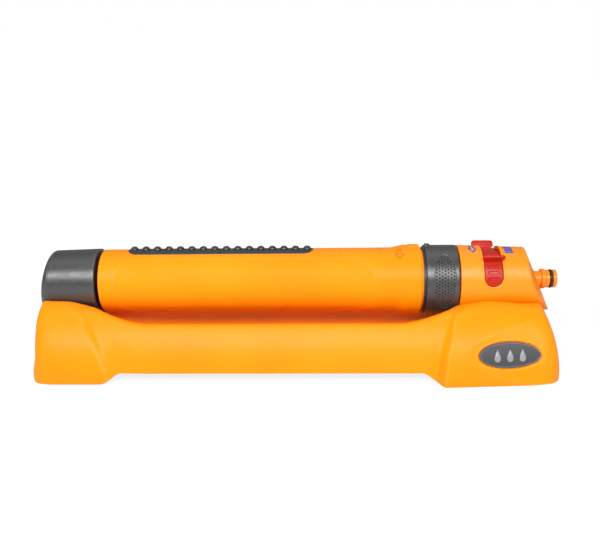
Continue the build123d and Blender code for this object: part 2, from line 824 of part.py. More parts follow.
def output_shaft():
    """Hollow shaft that takes water and drive to the barrel, with a spider for the axle's end."""
    flange_left = neck_right - collar_end_wall - disc_thickness
    right = gear_left[0] + gear_width
    shape = bar(flange_left, flange_left + disc_thickness, shaft_flange_radius)
    shape += bar(flange_left, right, shaft_radius)
    shape -= bar(flange_left - 1, right + 1, shaft_radius - shaft_wall)
    middle = right - gear_width / 2
    for turn in (0, 60, 120):
        spoke_size = (gear_width, 1.2, 2 * shaft_radius - shaft_wall)
        spoke = Pos(middle, 0, axis_height) * Rot(turn, 0, 0) * Box(*spoke_size)
        shape += spoke
    shape += bar(right - gear_width, right, 2 * axle_radius)
    return shape - bar(right - gear_width - 1, right + 1, axle_radius + fit_gap)


def main_axle():
    """Steel axle in the middle, for the turbine and the middle gear."""
    return bar(gear_left[0] + body_gap, jet_plate_left + plate_thickness, axle_radius)


def lay_axle():
    """Steel axle for the two lower gears."""
    return bar(cover_left, bearing_plate_left + plate_thickness, axle_radius, 0, lay_height)


def turbine_wheel():
    """Bladed wheel with its sleeve and pinion."""
    shape = pinion(3, axis_height, -90, 0)
    shape += bar(gear_left[3] + gear_width - 0.5, turbine_left + 1, sleeve_radius)
    shape += bar(turbine_left, turbine_left + turbine_width, 2 * sleeve_radius)
    middle = turbine_left + turbine_width / 2
    for index in range(turbine_blades):
        reach = turbine_radius - sleeve_radius
        blade = Pos(0, 0, sleeve_radius + reach / 2) * Box(turbine_width, blade_thickness, reach)
        shape += Pos(middle, 0, axis_height) * Rot(360 * index / turbine_blades, 0, 0) * blade
    return shape - bar(gear_left[3] - 1, turbine_left + turbine_width + 1, axle_radius + fit_gap)


def rod_hole(x_from, x_to):
    """Room for the reversing rod."""
    return bar(x_from - 1, x_to + 1, rod_radius + running_gap, 0, axis_height + rod_height)


def bearing_plate():
    """Plate between the gears and the turbine, with three water holes."""
    left = bearing_plate_left
    right = left + plate_thickness
    shape = bar(left, right, case_inner - fit_gap) - bar(left - 1, right + 1, sleeve_radius + running_gap)
    shape -= bar(left - 1, right + 1, axle_radius + fit_gap / 2, 0, lay_height)
    for turn in (60, 180, 300):
        middle = outward(turn) * (case_inner * 0.7)
        if turn != 180:
            shape -= bar(left - 1, right + 1, 3.5, middle.Y, axis_height + middle.Z)
    return shape - rod_hole(left, right)


def jet_plate():
    """Plate with the two jets that push the turbine either way."""
    left = jet_plate_left
    right = left + plate_thickness
    shape = bar(left, right, case_inner - fit_gap) - bar(left - 1, right + 1, axle_radius + fit_gap / 2)
    for side in (-1, 1):
        shape -= bar(left - 1, right + 1, 1.6, side * 4.5, axis_height + turbine_radius - 4)
    return shape - rod_hole(left, right)


def gearbox_case():
    """Cup round the gears and the turbine."""
    shape = bar(cover_right, case_right, case_outer)
    shape -= bar(cover_right - 1, case_right - plate_thickness, case_inner)
    return shape - bar(cover_right, case_right + 1, connector_bore)


def gearbox_cover():
    """Disc that closes the gearbox and carries the output shaft."""
    shape = bar(cover_left, cover_right, track_outer)
    shape -= bar(cover_left - 1, cover_right + 1, shaft_radius + running_gap)
    shape -= bar(cover_left - 1, cover_right + 1, axle_radius + fit_gap / 2, 0, lay_height)
    return shape - rod_hole(cover_left, cover_right)


def shaft_seal():
    """Seal on the cover, round the output shaft."""
    return tube(cover_left - disc_thickness * 0.6, cover_left, shaft_radius + 2.4, shaft_radius + fit_gap)


def reversing_rod():
    """Rod from the trip lever to the flow deflector."""
    return bar(lever_left, deflector_left + deflector_size[0], rod_radius, 0, axis_height + rod_height)


def on_rod(x_from, size, drop):
    """Flat arm on the reversing rod, with its hole."""
    middle = Pos(x_from + size[0] / 2, 0, axis_height + rod_height - drop)
    arm = middle * Box(*size)
    return arm - bar(x_from - 1, x_from + size[0] + 1, rod_radius, 0, axis_height + rod_height)


def trip_lever():
    """Arm on the rod that the barrel's dog trips at a slider's lug."""
    return on_rod(lever_left, lever_size, 0.0)


def flow_deflector():
    """Arm on the rod that covers one jet at a time."""
    return on_rod(deflector_left, deflector_size, deflector_size[2] / 2 - 3.0)


# Hose connector

def connector_places():
    """Ends of the connector's steps, from the tip inwards."""
    tip = tip_x - connector_tip_length
    groove = tip - connector_groove_length
    waist = groove - connector_waist_length
    return tip, groove, waist, waist - connector_collar_length


def hose_connector():
    """Yellow quick-connect nipple, set in the housing's nose."""
    tip, groove, waist, collar = connector_places()
    stem_left = case_right + gasket_thickness
    plug_left = stem_left + connector_stem_length
    shape = bar(plug_left, tip_x, connector_plug_radius) & nose_body(connector_plug_proud)
    shape += bar(stem_left, plug_left + connector_weld, connector_stem_radius)
    shape += bar(plug_left + connector_weld, collar + 1, connector_neck_radius)
    head = bar(collar, waist, connector_collar_radius)
    shape += fillet(head.edges().filter_by(GeomType.CIRCLE), 0.8)
    shape += bar(waist, groove, connector_waist_radius)
    shape += bar(groove, tip, connector_groove_radius)
    end = bar(tip, tip_x, connector_tip_radius)
    shape += fillet(end.edges().filter_by(GeomType.CIRCLE).sort_by(Axis.X)[-1:], 0.8)
    return shape - bar(stem_left - 1, tip_x + 1, connector_bore)


def connector_o_ring():
    """Black O-ring in the connector's groove."""
    tip, groove, waist, collar = connector_places()
    middle = Pos((tip + groove) / 2, 0, axis_height) * Rot(0, 90, 0)
    return middle * Torus(connector_groove_radius + fit_gap + ring_seal_section, ring_seal_section)


def inlet_filter():
    """Slotted cup in the connector's bore."""
    left = case_right + gasket_thickness + 1
    outer = connector_bore - fit_gap
    right = left + filter_length
    shape = bar(left, right, outer) - bar(left - 1, right - 1, outer - filter_wall)
    for turn in range(0, 180, 45):
        middle = Pos((left + right) / 2, 0, axis_height)
        shape -= middle * Rot(turn, 0, 0) * Box(filter_length - 5, 1.2, 20)
    return shape


def inlet_gasket():
    """Flat seal between the connector and the gearbox."""
    return tube(case_right, case_right + gasket_thickness, connector_stem_radius, connector_bore)


def all_parts():
    """Every piece by its node name."""
    half = nozzle_count // 2
    seam_left = strip_middle - strip_seam / 2
    seam_right = strip_middle + strip_seam / 2
    lay, axis = lay_height, axis_height
    return {
        "base_frame": base_frame(),
        "front_badge": front_badge(),
        "end_cap": end_cap(),
        "end_bearing": end_bearing(),
        "cap_screws": cap_screws(),
        "housing_screws": housing_screws(),
        "spray_barrel": spray_barrel(),
        "nozzle_strip_left": nozzle_strip(0, half, strip_left - 1, seam_left),
        "nozzle_strip_right": nozzle_strip(half, nozzle_count, seam_right, strip_left + strip_length + 1),
        "barrel_end_plug": barrel_end_plug(),
        "plug_o_ring": plug_o_ring(),
        "barrel_collar": barrel_collar(),
        "feed_tube": feed_tube(),
        "barrel_divider": barrel_divider(),
        "port_plate": port_plate(),
        "valve_disc": valve_disc(),
        "selector_ring": selector_ring(),
        "drive_housing": drive_housing(),
        "slider_track": slider_track(),
        "front_slider": limit_slider(1),
        "rear_slider": limit_slider(-1),
        "output_shaft": output_shaft(),
        "output_gear": output_gear(),
        "lay_gear_slow": compound_gear(0, lay, 90),
        "middle_gear": compound_gear(1, axis, -90),
        "lay_gear_fast": compound_gear(2, lay, 90),
        "turbine_wheel": turbine_wheel(),
        "main_axle": main_axle(),
        "lay_axle": lay_axle(),
        "bearing_plate": bearing_plate(),
        "jet_plate": jet_plate(),
        "gearbox_case": gearbox_case(),
        "gearbox_cover": gearbox_cover(),
        "shaft_seal": shaft_seal(),
        "reversing_rod": reversing_rod(),
        "trip_lever": trip_lever(),
        "flow_deflector": flow_deflector(),
        "hose_connector": hose_connector(),
        "connector_o_ring": connector_o_ring(),
        "inlet_filter": inlet_filter(),
        "inlet_gasket": inlet_gasket(),
    }


os.makedirs("parts", exist_ok=True)
for name, shape in all_parts().items():
    export_step(shape, f"parts/{name}.step")
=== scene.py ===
"""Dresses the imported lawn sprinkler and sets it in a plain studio."""
import json
import math
from types import SimpleNamespace

import bmesh
import bpy
from bpy.props import FloatProperty, FloatVectorProperty, PointerProperty
from mathutils import Matrix, Vector


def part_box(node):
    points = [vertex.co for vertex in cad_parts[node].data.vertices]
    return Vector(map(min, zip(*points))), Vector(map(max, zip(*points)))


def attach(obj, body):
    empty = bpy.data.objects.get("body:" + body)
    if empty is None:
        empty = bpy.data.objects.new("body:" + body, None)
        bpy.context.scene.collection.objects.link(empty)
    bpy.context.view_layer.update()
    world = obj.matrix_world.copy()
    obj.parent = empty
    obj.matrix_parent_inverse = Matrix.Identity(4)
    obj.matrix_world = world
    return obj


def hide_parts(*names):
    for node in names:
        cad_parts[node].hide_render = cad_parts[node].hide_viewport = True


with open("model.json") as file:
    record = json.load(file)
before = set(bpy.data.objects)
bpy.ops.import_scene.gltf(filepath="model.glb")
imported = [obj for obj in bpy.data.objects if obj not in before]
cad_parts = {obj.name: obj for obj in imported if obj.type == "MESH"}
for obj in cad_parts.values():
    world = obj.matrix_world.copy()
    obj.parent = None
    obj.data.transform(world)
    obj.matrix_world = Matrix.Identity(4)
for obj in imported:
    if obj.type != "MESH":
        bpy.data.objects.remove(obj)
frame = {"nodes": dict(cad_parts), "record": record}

bl_info = {
    "name": "Lawn sprinkler",
    "version": (1, 0, 0),
    "blender": (4, 5, 0),
    "location": "View3D > Sidebar > Sprinkler",
    "description": "Dresses a packed lawn sprinkler and sets it in a plain studio",
    "category": "Object",
}

MM = 0.001


# Places read from the frame, in millimetres

def corners(*nodes):
    """Lowest and highest corner of some nodes together."""
    boxes = [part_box(node) for node in nodes]
    low = Vector([min(box[0][axis] for box in boxes) for axis in range(3)]) / MM
    high = Vector([max(box[1][axis] for box in boxes) for axis in range(3)]) / MM
    return low, high


BASE_LOW, BASE_HIGH = corners("base_frame")
CAP_LOW, CAP_HIGH = corners("end_cap")
BARREL_LOW, BARREL_HIGH = corners("spray_barrel")
STRIP_LOW, STRIP_HIGH = corners("nozzle_strip_left", "nozzle_strip_right")
RING_LOW, RING_HIGH = corners("selector_ring")
HOUSING_LOW, _ = corners("drive_housing")
BADGE_LOW, BADGE_HIGH = corners("front_badge")
AXIS = (BARREL_LOW.z + BARREL_HIGH.z) / 2
CAP_RADII = (27.2, 28.6)
BARREL_RADII = (27.7, 28.2)
BARREL_BORE = 25.2
COLLAR_RADIUS = 30.5
COLLAR_RIGHT = RING_LOW.x - 2.0
NECK_RADIUS = 27.6
RING_RADIUS = 30.3
RING_BORE = 27.7
HOUSING_RADII = (30.0, 27.7)
NOSE_LENGTH = 70.5
SLOT_MIDDLE = HOUSING_LOW.x + 27.5
RIM_HEIGHT = BASE_HIGH.z
STRIP_MIDDLE = (STRIP_LOW.x + STRIP_HIGH.x) / 2
STRIP_HALF = (STRIP_HIGH.y - STRIP_LOW.y) / 2
CREASE_ANGLE = 35.0
WELD_DISTANCE = 1e-6
SLIVER_LENGTH = 1e-7
PLATE_EDGE_ROWS = 5


def around(x, radius, angle):
    """Point beside the barrel's axis, at an angle from the top towards the front."""
    return x, -radius * math.sin(angle), AXIS + radius * math.cos(angle)


def from_top(angle, radius):
    """Length round a radius from the top, less than zero on the rear."""
    return math.remainder(angle, 2 * math.pi) * radius


def housing_radius(x):
    """Outer radius of the drive housing."""
    return mix(*HOUSING_RADII, (x - HOUSING_LOW.x) / NOSE_LENGTH)


# Numbers and outlines

def smooth(value):
    """Zero below 0, one above 1, and a smooth rise between them."""
    share = min(max(value, 0.0), 1.0)
    return share * share * (3 - 2 * share)


def ramp(value, start, length):
    """Smooth rise from zero at a start to one a length further on."""
    return smooth((value - start) / length)


def bell(value, middle, width):
    """One at a middle, falling off evenly on both sides."""
    return math.exp(-((value - middle) / width) ** 2)


def mix(start, end, share):
    """Point or number part of the way from one to another."""
    return start + (end - start) * share


def spread(start, end, count):
    """Evenly spaced numbers, both ends among them."""
    return [mix(start, end, step / (count - 1)) for step in range(count)]


def full_turn(count):
    """Evenly spaced angles of one full turn."""
    return [2 * math.pi * step / count for step in range(count)]


def softened(depth, edge, reach=0.5):
    """Zero outside an outline and one inside it, with a smooth edge that reaches a share of it outside."""
    return smooth(depth / edge + reach)


def edge_fall(depth, edge):
    """How far a rounded edge falls away at a depth inside it."""
    share = 1 - min(max(depth, 0.0) / edge, 1.0)
    return edge * (1 - math.sqrt(1 - share * share))


def eased(curve, share):
    """Point on the smooth curve that leaves the first point and arrives at the last one."""
    while len(curve) > 1:
        curve = [mix(start, end, share) for start, end in zip(curve, curve[1:])]
    return curve[0]


def rounded(outline, steps=6):
    """Closed outline of (x, y, radius) corners with each corner rounded off."""
    points = []
    for index, (x, y, radius) in enumerate(outline):
        corner = Vector((x, y))
        if radius <= 0:
            points.append((x, y))
            continue
        before = (Vector(outline[index - 1][:2]) - corner).normalized()
        after = (Vector(outline[(index + 1) % len(outline)][:2]) - corner).normalized()
        half = before.angle(after) / 2
        middle = corner + (before + after).normalized() * radius / math.sin(half)
        start = corner + before * radius / math.tan(half) - middle
        side = 1 if before.y * after.x - before.x * after.y > 0 else -1
        for step in range(steps + 1):
            turn = side * (math.pi - 2 * half) * step / steps
            points.append((middle.x + start.x * math.cos(turn) - start.y * math.sin(turn),
                           middle.y + start.x * math.sin(turn) + start.y * math.cos(turn)))
    return points


def divided(outline, longest, closed=True):
    """Outline with points added until no run is longer than a length."""
    points = []
    for index, start in enumerate(outline):
        if index == len(outline) - 1 and not closed:
            points.append(start)
            break
        end = outline[(index + 1) % len(outline)]
        count = max(math.ceil(math.dist(start, end) / longest), 1)
        points += [tuple(mix(a, b, step / count) for a, b in zip(start, end)) for step in range(count)]
    return points


def inside(x, y, half_width, half_height, corner):
    """Depth of a point inside a rounded rectangle about the origin; less than zero outside."""
    across = abs(x) - half_width + corner
    along = abs(y) - half_height + corner
    return corner - math.hypot(max(across, 0.0), max(along, 0.0)) - min(max(across, along), 0.0)


# Meshes

def grid_faces(rows, columns, close_rows=False, close_columns=False):
    """Four-sided faces over a grid of points, counted row by row."""
    faces = []
    for row in range(rows if close_rows else rows - 1):
        for column in range(columns if close_columns else columns - 1):
            below = (row + 1) % rows
            beside = (column + 1) % columns
            faces.append((row * columns + column, row * columns + beside,
                          below * columns + beside, below * columns + column))
    return faces


def turned(profile, segments, bend, closed=True):
    """Points and faces of an (x, radius) outline turned about the barrel's axis, bent at each angle."""
    points = []
    for x, radius in profile:
        for angle in full_turn(segments):
            points.append(around(*bend(x, radius, angle), angle))
    return points, grid_faces(len(profile), segments, closed, True)


def shell(rows, low, high, place):
    """Closed skin over rows of (x, y) points, between a low and a high surface."""
    columns = len(rows[0])
    flat = [point for row in rows for point in row]
    count = len(flat)
    points = [place(x, y, high(x, y)) for x, y in flat] + [place(x, y, low) for x, y in flat]
    faces = grid_faces(len(rows), columns)
    faces += [tuple(count + index for index in reversed(face)) for face in faces]
    border = list(range(columns))
    border += [row * columns + columns - 1 for row in range(1, len(rows))]
    border += [(len(rows) - 1) * columns + column for column in range(columns - 2, -1, -1)]
    border += [row * columns for row in range(len(rows) - 2, 0, -1)]
    for start, end in zip(border, border[1:] + border[:1]):
        faces.append((end, start, count + start, count + end))
    return points, faces


def ribbon(path, section, place, closed=True):
    """Bead of an (across, height) section along a flat path of (x, y) points."""
    points = []
    for index, (x, y) in enumerate(path):
        before = path[index - 1] if closed or index else path[0]
        after = path[(index + 1) % len(path)] if closed or index < len(path) - 1 else path[-1]
        along = (Vector(after) - Vector(before)).normalized()
        points += [place(x - along.y * across, y + along.x * across, height) for across, height in section]
    faces = grid_faces(len(path), len(section), closed, True)
    if not closed:
        last = (len(path) - 1) * len(section)
        faces.append(tuple(range(len(section))))
        faces.append(tuple(last + index for index in reversed(range(len(section)))))
    return points, faces


def plate(outline, thickness, edge, place):
    """Plate of a closed (x, y) outline, with its edges rounded."""
    count = len(outline)
    points = []
    rows = 0
    for side in (-1, 1):
        for lift in spread(0.0, math.pi / 2, PLATE_EDGE_ROWS)[::side]:
            inset = edge * (1 - math.cos(lift))
            level = side * (thickness / 2 - edge * (1 - math.sin(lift)))
            rows += 1
            for index, (x, y) in enumerate(outline):
                along = (Vector(outline[(index + 1) % count]) - Vector(outline[index - 1])).normalized()
                points.append(place(x - along.y * inset, y + along.x * inset, level))
    faces = grid_faces(rows, count, False, True)
    faces.append(tuple(reversed(range(count))))
    faces.append(tuple(range((rows - 1) * count, rows * count)))
    return points, faces


def joined(*parts):
    """Points and faces of several parts together."""
    points = []
    faces = []
    for part_points, part_faces in parts:
        first = len(points)
        points += part_points
        faces += [tuple(first + index for index in face) for face in part_faces]
    return points, faces


def shaped(name, points, faces):
    """New mesh object at the origin, from points in millimetres, closed and with its normals outward."""
    mesh = bpy.data.meshes.new(name)
    mesh.from_pydata([Vector(point) * MM for point in points], [], faces)
    work = bmesh.new()
    work.from_mesh(mesh)
    bmesh.ops.remove_doubles(work, verts=work.verts, dist=WELD_DISTANCE)
    bmesh.ops.dissolve_degenerate(work, edges=work.edges, dist=SLIVER_LENGTH)
    bmesh.ops.recalc_face_normals(work, faces=work.faces)
    work.to_mesh(mesh)
    work.free()
    piece = bpy.data.objects.new(name, mesh)
    bpy.context.collection.objects.link(piece)
    return piece


def mark_edges(mesh):
    """Stores how sharply the surface bends outward at each point, for wear on edges."""
    work = bmesh.new()
    work.from_mesh(mesh)
    bends = []
    for vert in work.verts:
        turns = [edge.calc_face_angle_signed(0.0) for edge in vert.link_edges]
        bends.append(min(max(sum(turns), 0.0), 1.0))
    work.free()
    attribute = mesh.attributes.new("edge", "FLOAT", "POINT")
    attribute.data.foreach_set("value", bends)


def mark_patch(mesh, share_at):
    """Stores how far each point lies in a patch with its own gloss."""
    shares = [share_at(*(vert.co / MM)) for vert in mesh.vertices]
    attribute = mesh.attributes.new("patch", "FLOAT", "POINT")
    attribute.data.foreach_set("value", shares)


def built(name, part, finish, body, nodes=(), crease=CREASE_ANGLE):
    """New piece of points and faces with its finish, seated on its body in place of CAD nodes."""
    piece = shaped(name, *part)
    mesh = piece.data
    mesh.shade_smooth()
    mesh.set_sharp_from_angle(angle=math.radians(crease))
    mark_edges(mesh)
    mesh.materials.append(finish_of(finish))
    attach(piece, body)
    if nodes:
        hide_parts(*nodes)
    return piece


# Node trees

class Tree:
    """Short way to add and join the nodes of one tree."""

    def __init__(self, tree):
        self.tree = tree

    def add(self, kind, inputs=(), **settings):
        """New node with some settings; an input is a value or another node's output."""
        node = self.tree.nodes.new(kind)
        for name, value in settings.items():
            setattr(node, name, value)
        for name, value in dict(inputs).items():
            if isinstance(value, bpy.types.NodeSocket):
                self.tree.links.new(value, node.inputs[name])
            else:
                node.inputs[name].default_value = value
        return node

    def math(self, operation, first, second=0.0):
        """Result of one sum."""
        return self.add("ShaderNodeMath", {0: first, 1: second}, operation=operation).outputs[0]


PATTERN_INPUTS = (
    ("Shape", "NodeSocketObject"), ("Material", "NodeSocketMaterial"),
    ("Columns", "NodeSocketInt"), ("Rows", "NodeSocketInt"),
    ("Column pitch", "NodeSocketFloat"), ("Row pitch", "NodeSocketFloat"), ("Stagger", "NodeSocketFloat"),
    ("Half width", "NodeSocketFloat"), ("Half height", "NodeSocketFloat"),
)


def pattern_tree():
    """Geometry nodes that repeat a shape over a flat grid and keep the copies inside an oval."""
    if "sprinkler_pattern" in bpy.data.node_groups:
        return bpy.data.node_groups["sprinkler_pattern"]
    group = bpy.data.node_groups.new("sprinkler_pattern", "GeometryNodeTree")
    for name, kind in PATTERN_INPUTS:
        group.interface.new_socket(name, in_out="INPUT", socket_type=kind)
    group.interface.new_socket("Geometry", in_out="OUTPUT", socket_type="NodeSocketGeometry")
    tree = Tree(group)
    given = tree.add("NodeGroupInput").outputs
    last_column = tree.math("SUBTRACT", given["Columns"], 1.0)
    width = tree.math("MULTIPLY", last_column, given["Column pitch"])
    height = tree.math("MULTIPLY", tree.math("SUBTRACT", given["Rows"], 1.0), given["Row pitch"])
    grid = tree.add("GeometryNodeMeshGrid", {"Size X": width, "Size Y": height,
                                             "Vertices X": given["Columns"], "Vertices Y": given["Rows"]})
    place = tree.add("ShaderNodeSeparateXYZ", {0: tree.add("GeometryNodeInputPosition").outputs[0]}).outputs
    column = tree.math("ADD", tree.math("DIVIDE", place["X"], given["Column pitch"]),
                       tree.math("DIVIDE", last_column, 2.0))
    odd = tree.math("MODULO", tree.math("ROUND", column), 2.0)
    shift = tree.math("MULTIPLY", tree.math("MULTIPLY", odd, given["Stagger"]), given["Row pitch"])
    offset = tree.add("ShaderNodeCombineXYZ", {"Y": shift}).outputs[0]
    laid = tree.add("GeometryNodeSetPosition", {"Geometry": grid.outputs["Mesh"], "Offset": offset})
    across = tree.math("POWER", tree.math("DIVIDE", place["X"], given["Half width"]), 2.0)
    along = tree.math("POWER", tree.math("DIVIDE", place["Y"], given["Half height"]), 2.0)
    outside = tree.math("GREATER_THAN", tree.math("ADD", across, along), 1.0)
    kept = tree.add("GeometryNodeDeleteGeometry", {"Geometry": laid.outputs[0], "Selection": outside})
    shape = tree.add("GeometryNodeObjectInfo", {"Object": given["Shape"]})
    copies = tree.add("GeometryNodeInstanceOnPoints", {"Points": kept.outputs[0],
                                                       "Instance": shape.outputs["Geometry"]})
    real = tree.add("GeometryNodeRealizeInstances", {"Geometry": copies.outputs[0]})
    dressed = tree.add("GeometryNodeSetMaterial", {"Geometry": real.outputs[0],
                                                   "Material": given["Material"]})
    tree.add("NodeGroupOutput", {"Geometry": dressed.outputs[0]})
    return group


def repeated(shape, finish, columns, rows, pitch, stagger=0.0, oval=(1000.0, 1000.0)):
    """Points and faces of a flat shape, repeated by the pattern's geometry nodes."""
    points, faces = shape
    mesh = bpy.data.meshes.new("pattern_shape")
    mesh.from_pydata(points, [], faces)
    single = bpy.data.objects.new("pattern_shape", mesh)
    carrier = bpy.data.objects.new("pattern", bpy.data.meshes.new("pattern"))
    for thing in (single, carrier):
        bpy.context.collection.objects.link(thing)
    modifier = carrier.modifiers.new("pattern", "NODES")
    modifier.node_group = pattern_tree()
    values = (single, finish_of(finish), columns, rows, *pitch, stagger, *oval)
    sockets = [item for item in modifier.node_group.interface.items_tree if item.in_out == "INPUT"]
    for socket, value in zip(sockets, values):
        modifier[socket.identifier] = value
    result = bpy.data.meshes.new_from_object(carrier.evaluated_get(bpy.context.evaluated_depsgraph_get()))
    points = [tuple(vert.co) for vert in result.vertices]
    faces = [tuple(face.vertices) for face in result.polygons]
    carrier.modifiers.remove(modifier)
    for thing in (single, carrier):
        bpy.data.objects.remove(thing)
    bpy.data.meshes.remove(result)
    return points, faces


def laid(part, place):
    """Part whose flat points are carried to their place."""
    points, faces = part
    return [place(*point) for point in points], faces


# Materials

MOTTLE = 0.05
MOTTLE_SCALE = 14.0
SCUFF_SCALE = 260.0
SCUFF_DETAIL = 6.0
GRAIN_DETAIL = 3.0
GLOSS_SPREAD = 0.05
GRAIN_DEPTH = 0.0002
FINISHES = {
    "yellow_base": dict(colour="yellow", worn="yellow_worn", roughness=0.4, specular=0.18, bump=0.06),
    "yellow_barrel": dict(colour="yellow", worn="yellow_worn", roughness=0.4, specular=0.15, bump=0.06,
                          patch_roughness=0.6),
    "yellow_gloss": dict(colour="yellow", worn="yellow_worn", roughness=0.4, specular=0.45, bump=0.05),
    "yellow_deep": dict(colour="yellow_deep", worn="yellow", roughness=0.33, specular=0.45, bump=0.05),
    "grey": dict(colour="grey", worn="grey_worn", roughness=0.34, specular=0.9, bump=0.06),
    "grip": dict(colour="grey", worn="grey_worn", roughness=0.38, specular=0.8, bump=0.03, wear=0.3),
    "black": dict(colour="black", worn="grey", roughness=0.45),
    "strip": dict(colour="strip", worn="grey", roughness=0.45, bump=0.05),
    "nozzle": dict(colour="strip", worn="grey", roughness=0.26, bump=0.03),
    "red": dict(colour="red", worn="red_worn", roughness=0.36, specular=0.35, bump=0.03),
    "seal": dict(colour="seal", worn="grey", roughness=0.4),
    "steel": dict(colour="steel", worn="steel", roughness=0.3, grain=900.0, metallic=1.0),
    "badge": dict(colour="badge", worn="badge_rim", roughness=0.5, specular=0.3),
    "badge_rim": dict(colour="badge_rim", worn="badge_rim", roughness=0.35),
    "badge_motif": dict(colour="badge_motif", worn="badge_motif", roughness=0.25),
    "print": dict(colour="print_blue", worn="print_blue", roughness=0.4, wear=0.2),
    "white": dict(colour="white", worn="white", roughness=0.4),
}


def cleared(owner):
    """Empty node tree of a material or of the surroundings."""
    owner.use_nodes = True
    owner.node_tree.nodes.clear()
    return Tree(owner.node_tree)


def noise(tree, place, scale, detail=2.0):
    """Even noise of a scale, on the object's own coordinates."""
    node = tree.add("ShaderNodeTexNoise", {"Vector": place, "Scale": scale, "Detail": detail})
    return node.outputs["Fac"]


def ranged(tree, value, low, high, start=0.35, end=0.65):
    """Value mapped from one range onto another, and held at its ends."""
    node = tree.add("ShaderNodeMapRange", {"Value": value, "From Min": start, "From Max": end,
                                           "To Min": low, "To Max": high})
    return node.outputs["Result"]


def blended(tree, share, first, second):
    """Colour part of the way from one to another."""
    return tree.add("ShaderNodeMix", {0: share, 6: first, 7: second}, data_type="RGBA").outputs[2]


def tinted(colour, factor):
    """Colour made lighter or darker, with full alpha."""
    return (*[min(part * factor, 1.0) for part in colour[:3]], 1.0)


def moulded(title, colour, worn, roughness, wear=0.5, specular=0.5, grain=1800.0, bump=0.04, metallic=0.0,
            patch_roughness=0.0):
    """Moulded or drawn material: fine grain, mottled colour, uneven gloss and paler worn edges."""
    material = bpy.data.materials.new(title)
    tree = cleared(material)
    place = tree.add("ShaderNodeTexCoord").outputs["Object"]
    broad = ranged(tree, noise(tree, place, MOTTLE_SCALE), 0.0, 1.0)
    fine = noise(tree, place, grain, GRAIN_DETAIL)
    scuffs = noise(tree, place, SCUFF_SCALE, SCUFF_DETAIL)
    edge = tree.add("ShaderNodeAttribute", attribute_name="edge").outputs["Fac"]
    body = blended(tree, broad, tinted(colour, 1 - MOTTLE), tinted(colour, 1 + MOTTLE))
    rubbed = tree.math("MULTIPLY", edge, ranged(tree, scuffs, 0.0, wear))
    surface = blended(tree, rubbed, body, tinted(worn, 1.0))
    gloss = ranged(tree, scuffs, roughness - GLOSS_SPREAD, roughness + GLOSS_SPREAD)
    if patch_roughness:
        patch = tree.add("ShaderNodeAttribute", attribute_name="patch").outputs["Fac"]
        gloss = tree.math("ADD", gloss, tree.math("MULTIPLY", patch, patch_roughness - roughness))
    relief = tree.add("ShaderNodeBump", {"Height": fine, "Strength": bump, "Distance": GRAIN_DEPTH})
    shader = tree.add("ShaderNodeBsdfPrincipled", {"Base Color": surface, "Roughness": gloss,
                                                   "Normal": relief.outputs[0], "Metallic": metallic,
                                                   "Specular IOR Level": specular})
    tree.add("ShaderNodeOutputMaterial", {"Surface": shader.outputs[0]})
    return material


def finish_of(name):
    """Finish by name, made on its first use."""
    title = "finish_" + name
    if title in bpy.data.materials:
        return bpy.data.materials[title]
    paint = bpy.context.scene.sprinkler_colours
    look = dict(FINISHES[name])
    for part in ("colour", "worn"):
        look[part] = getattr(paint, look[part])
    return moulded(title, **look)


# Base

LIP_ROWS = 3
WALL_ROWS = 56
CREST_ROWS = 9
TROUGH_ROWS = 26
UNDER_ROWS = 20
INNER_ROWS = 10
FINE_PITCH = 0.8
COARSE_PITCH = 1.6
LEFT_STATIONS = 28
FOOT_STATIONS = 46
CREASE_STATIONS = 20
MIDDLE_STATIONS = 30
MIDDLE_MARGINS = (45.0, 72.0)
TURN_STATIONS = 91
REACH_ROUNDS = 3
CREST_ROUNDS = 5
CREST_HALVINGS = 24
BASE_CREASE_ANGLE = 40.0
BADGE_SEAT = 2.0
BADGE_SHIFT = Vector((1.1, 0.0, 0.0))
BADGE_TRIM = Vector((0.0, 0.0, 0.7))


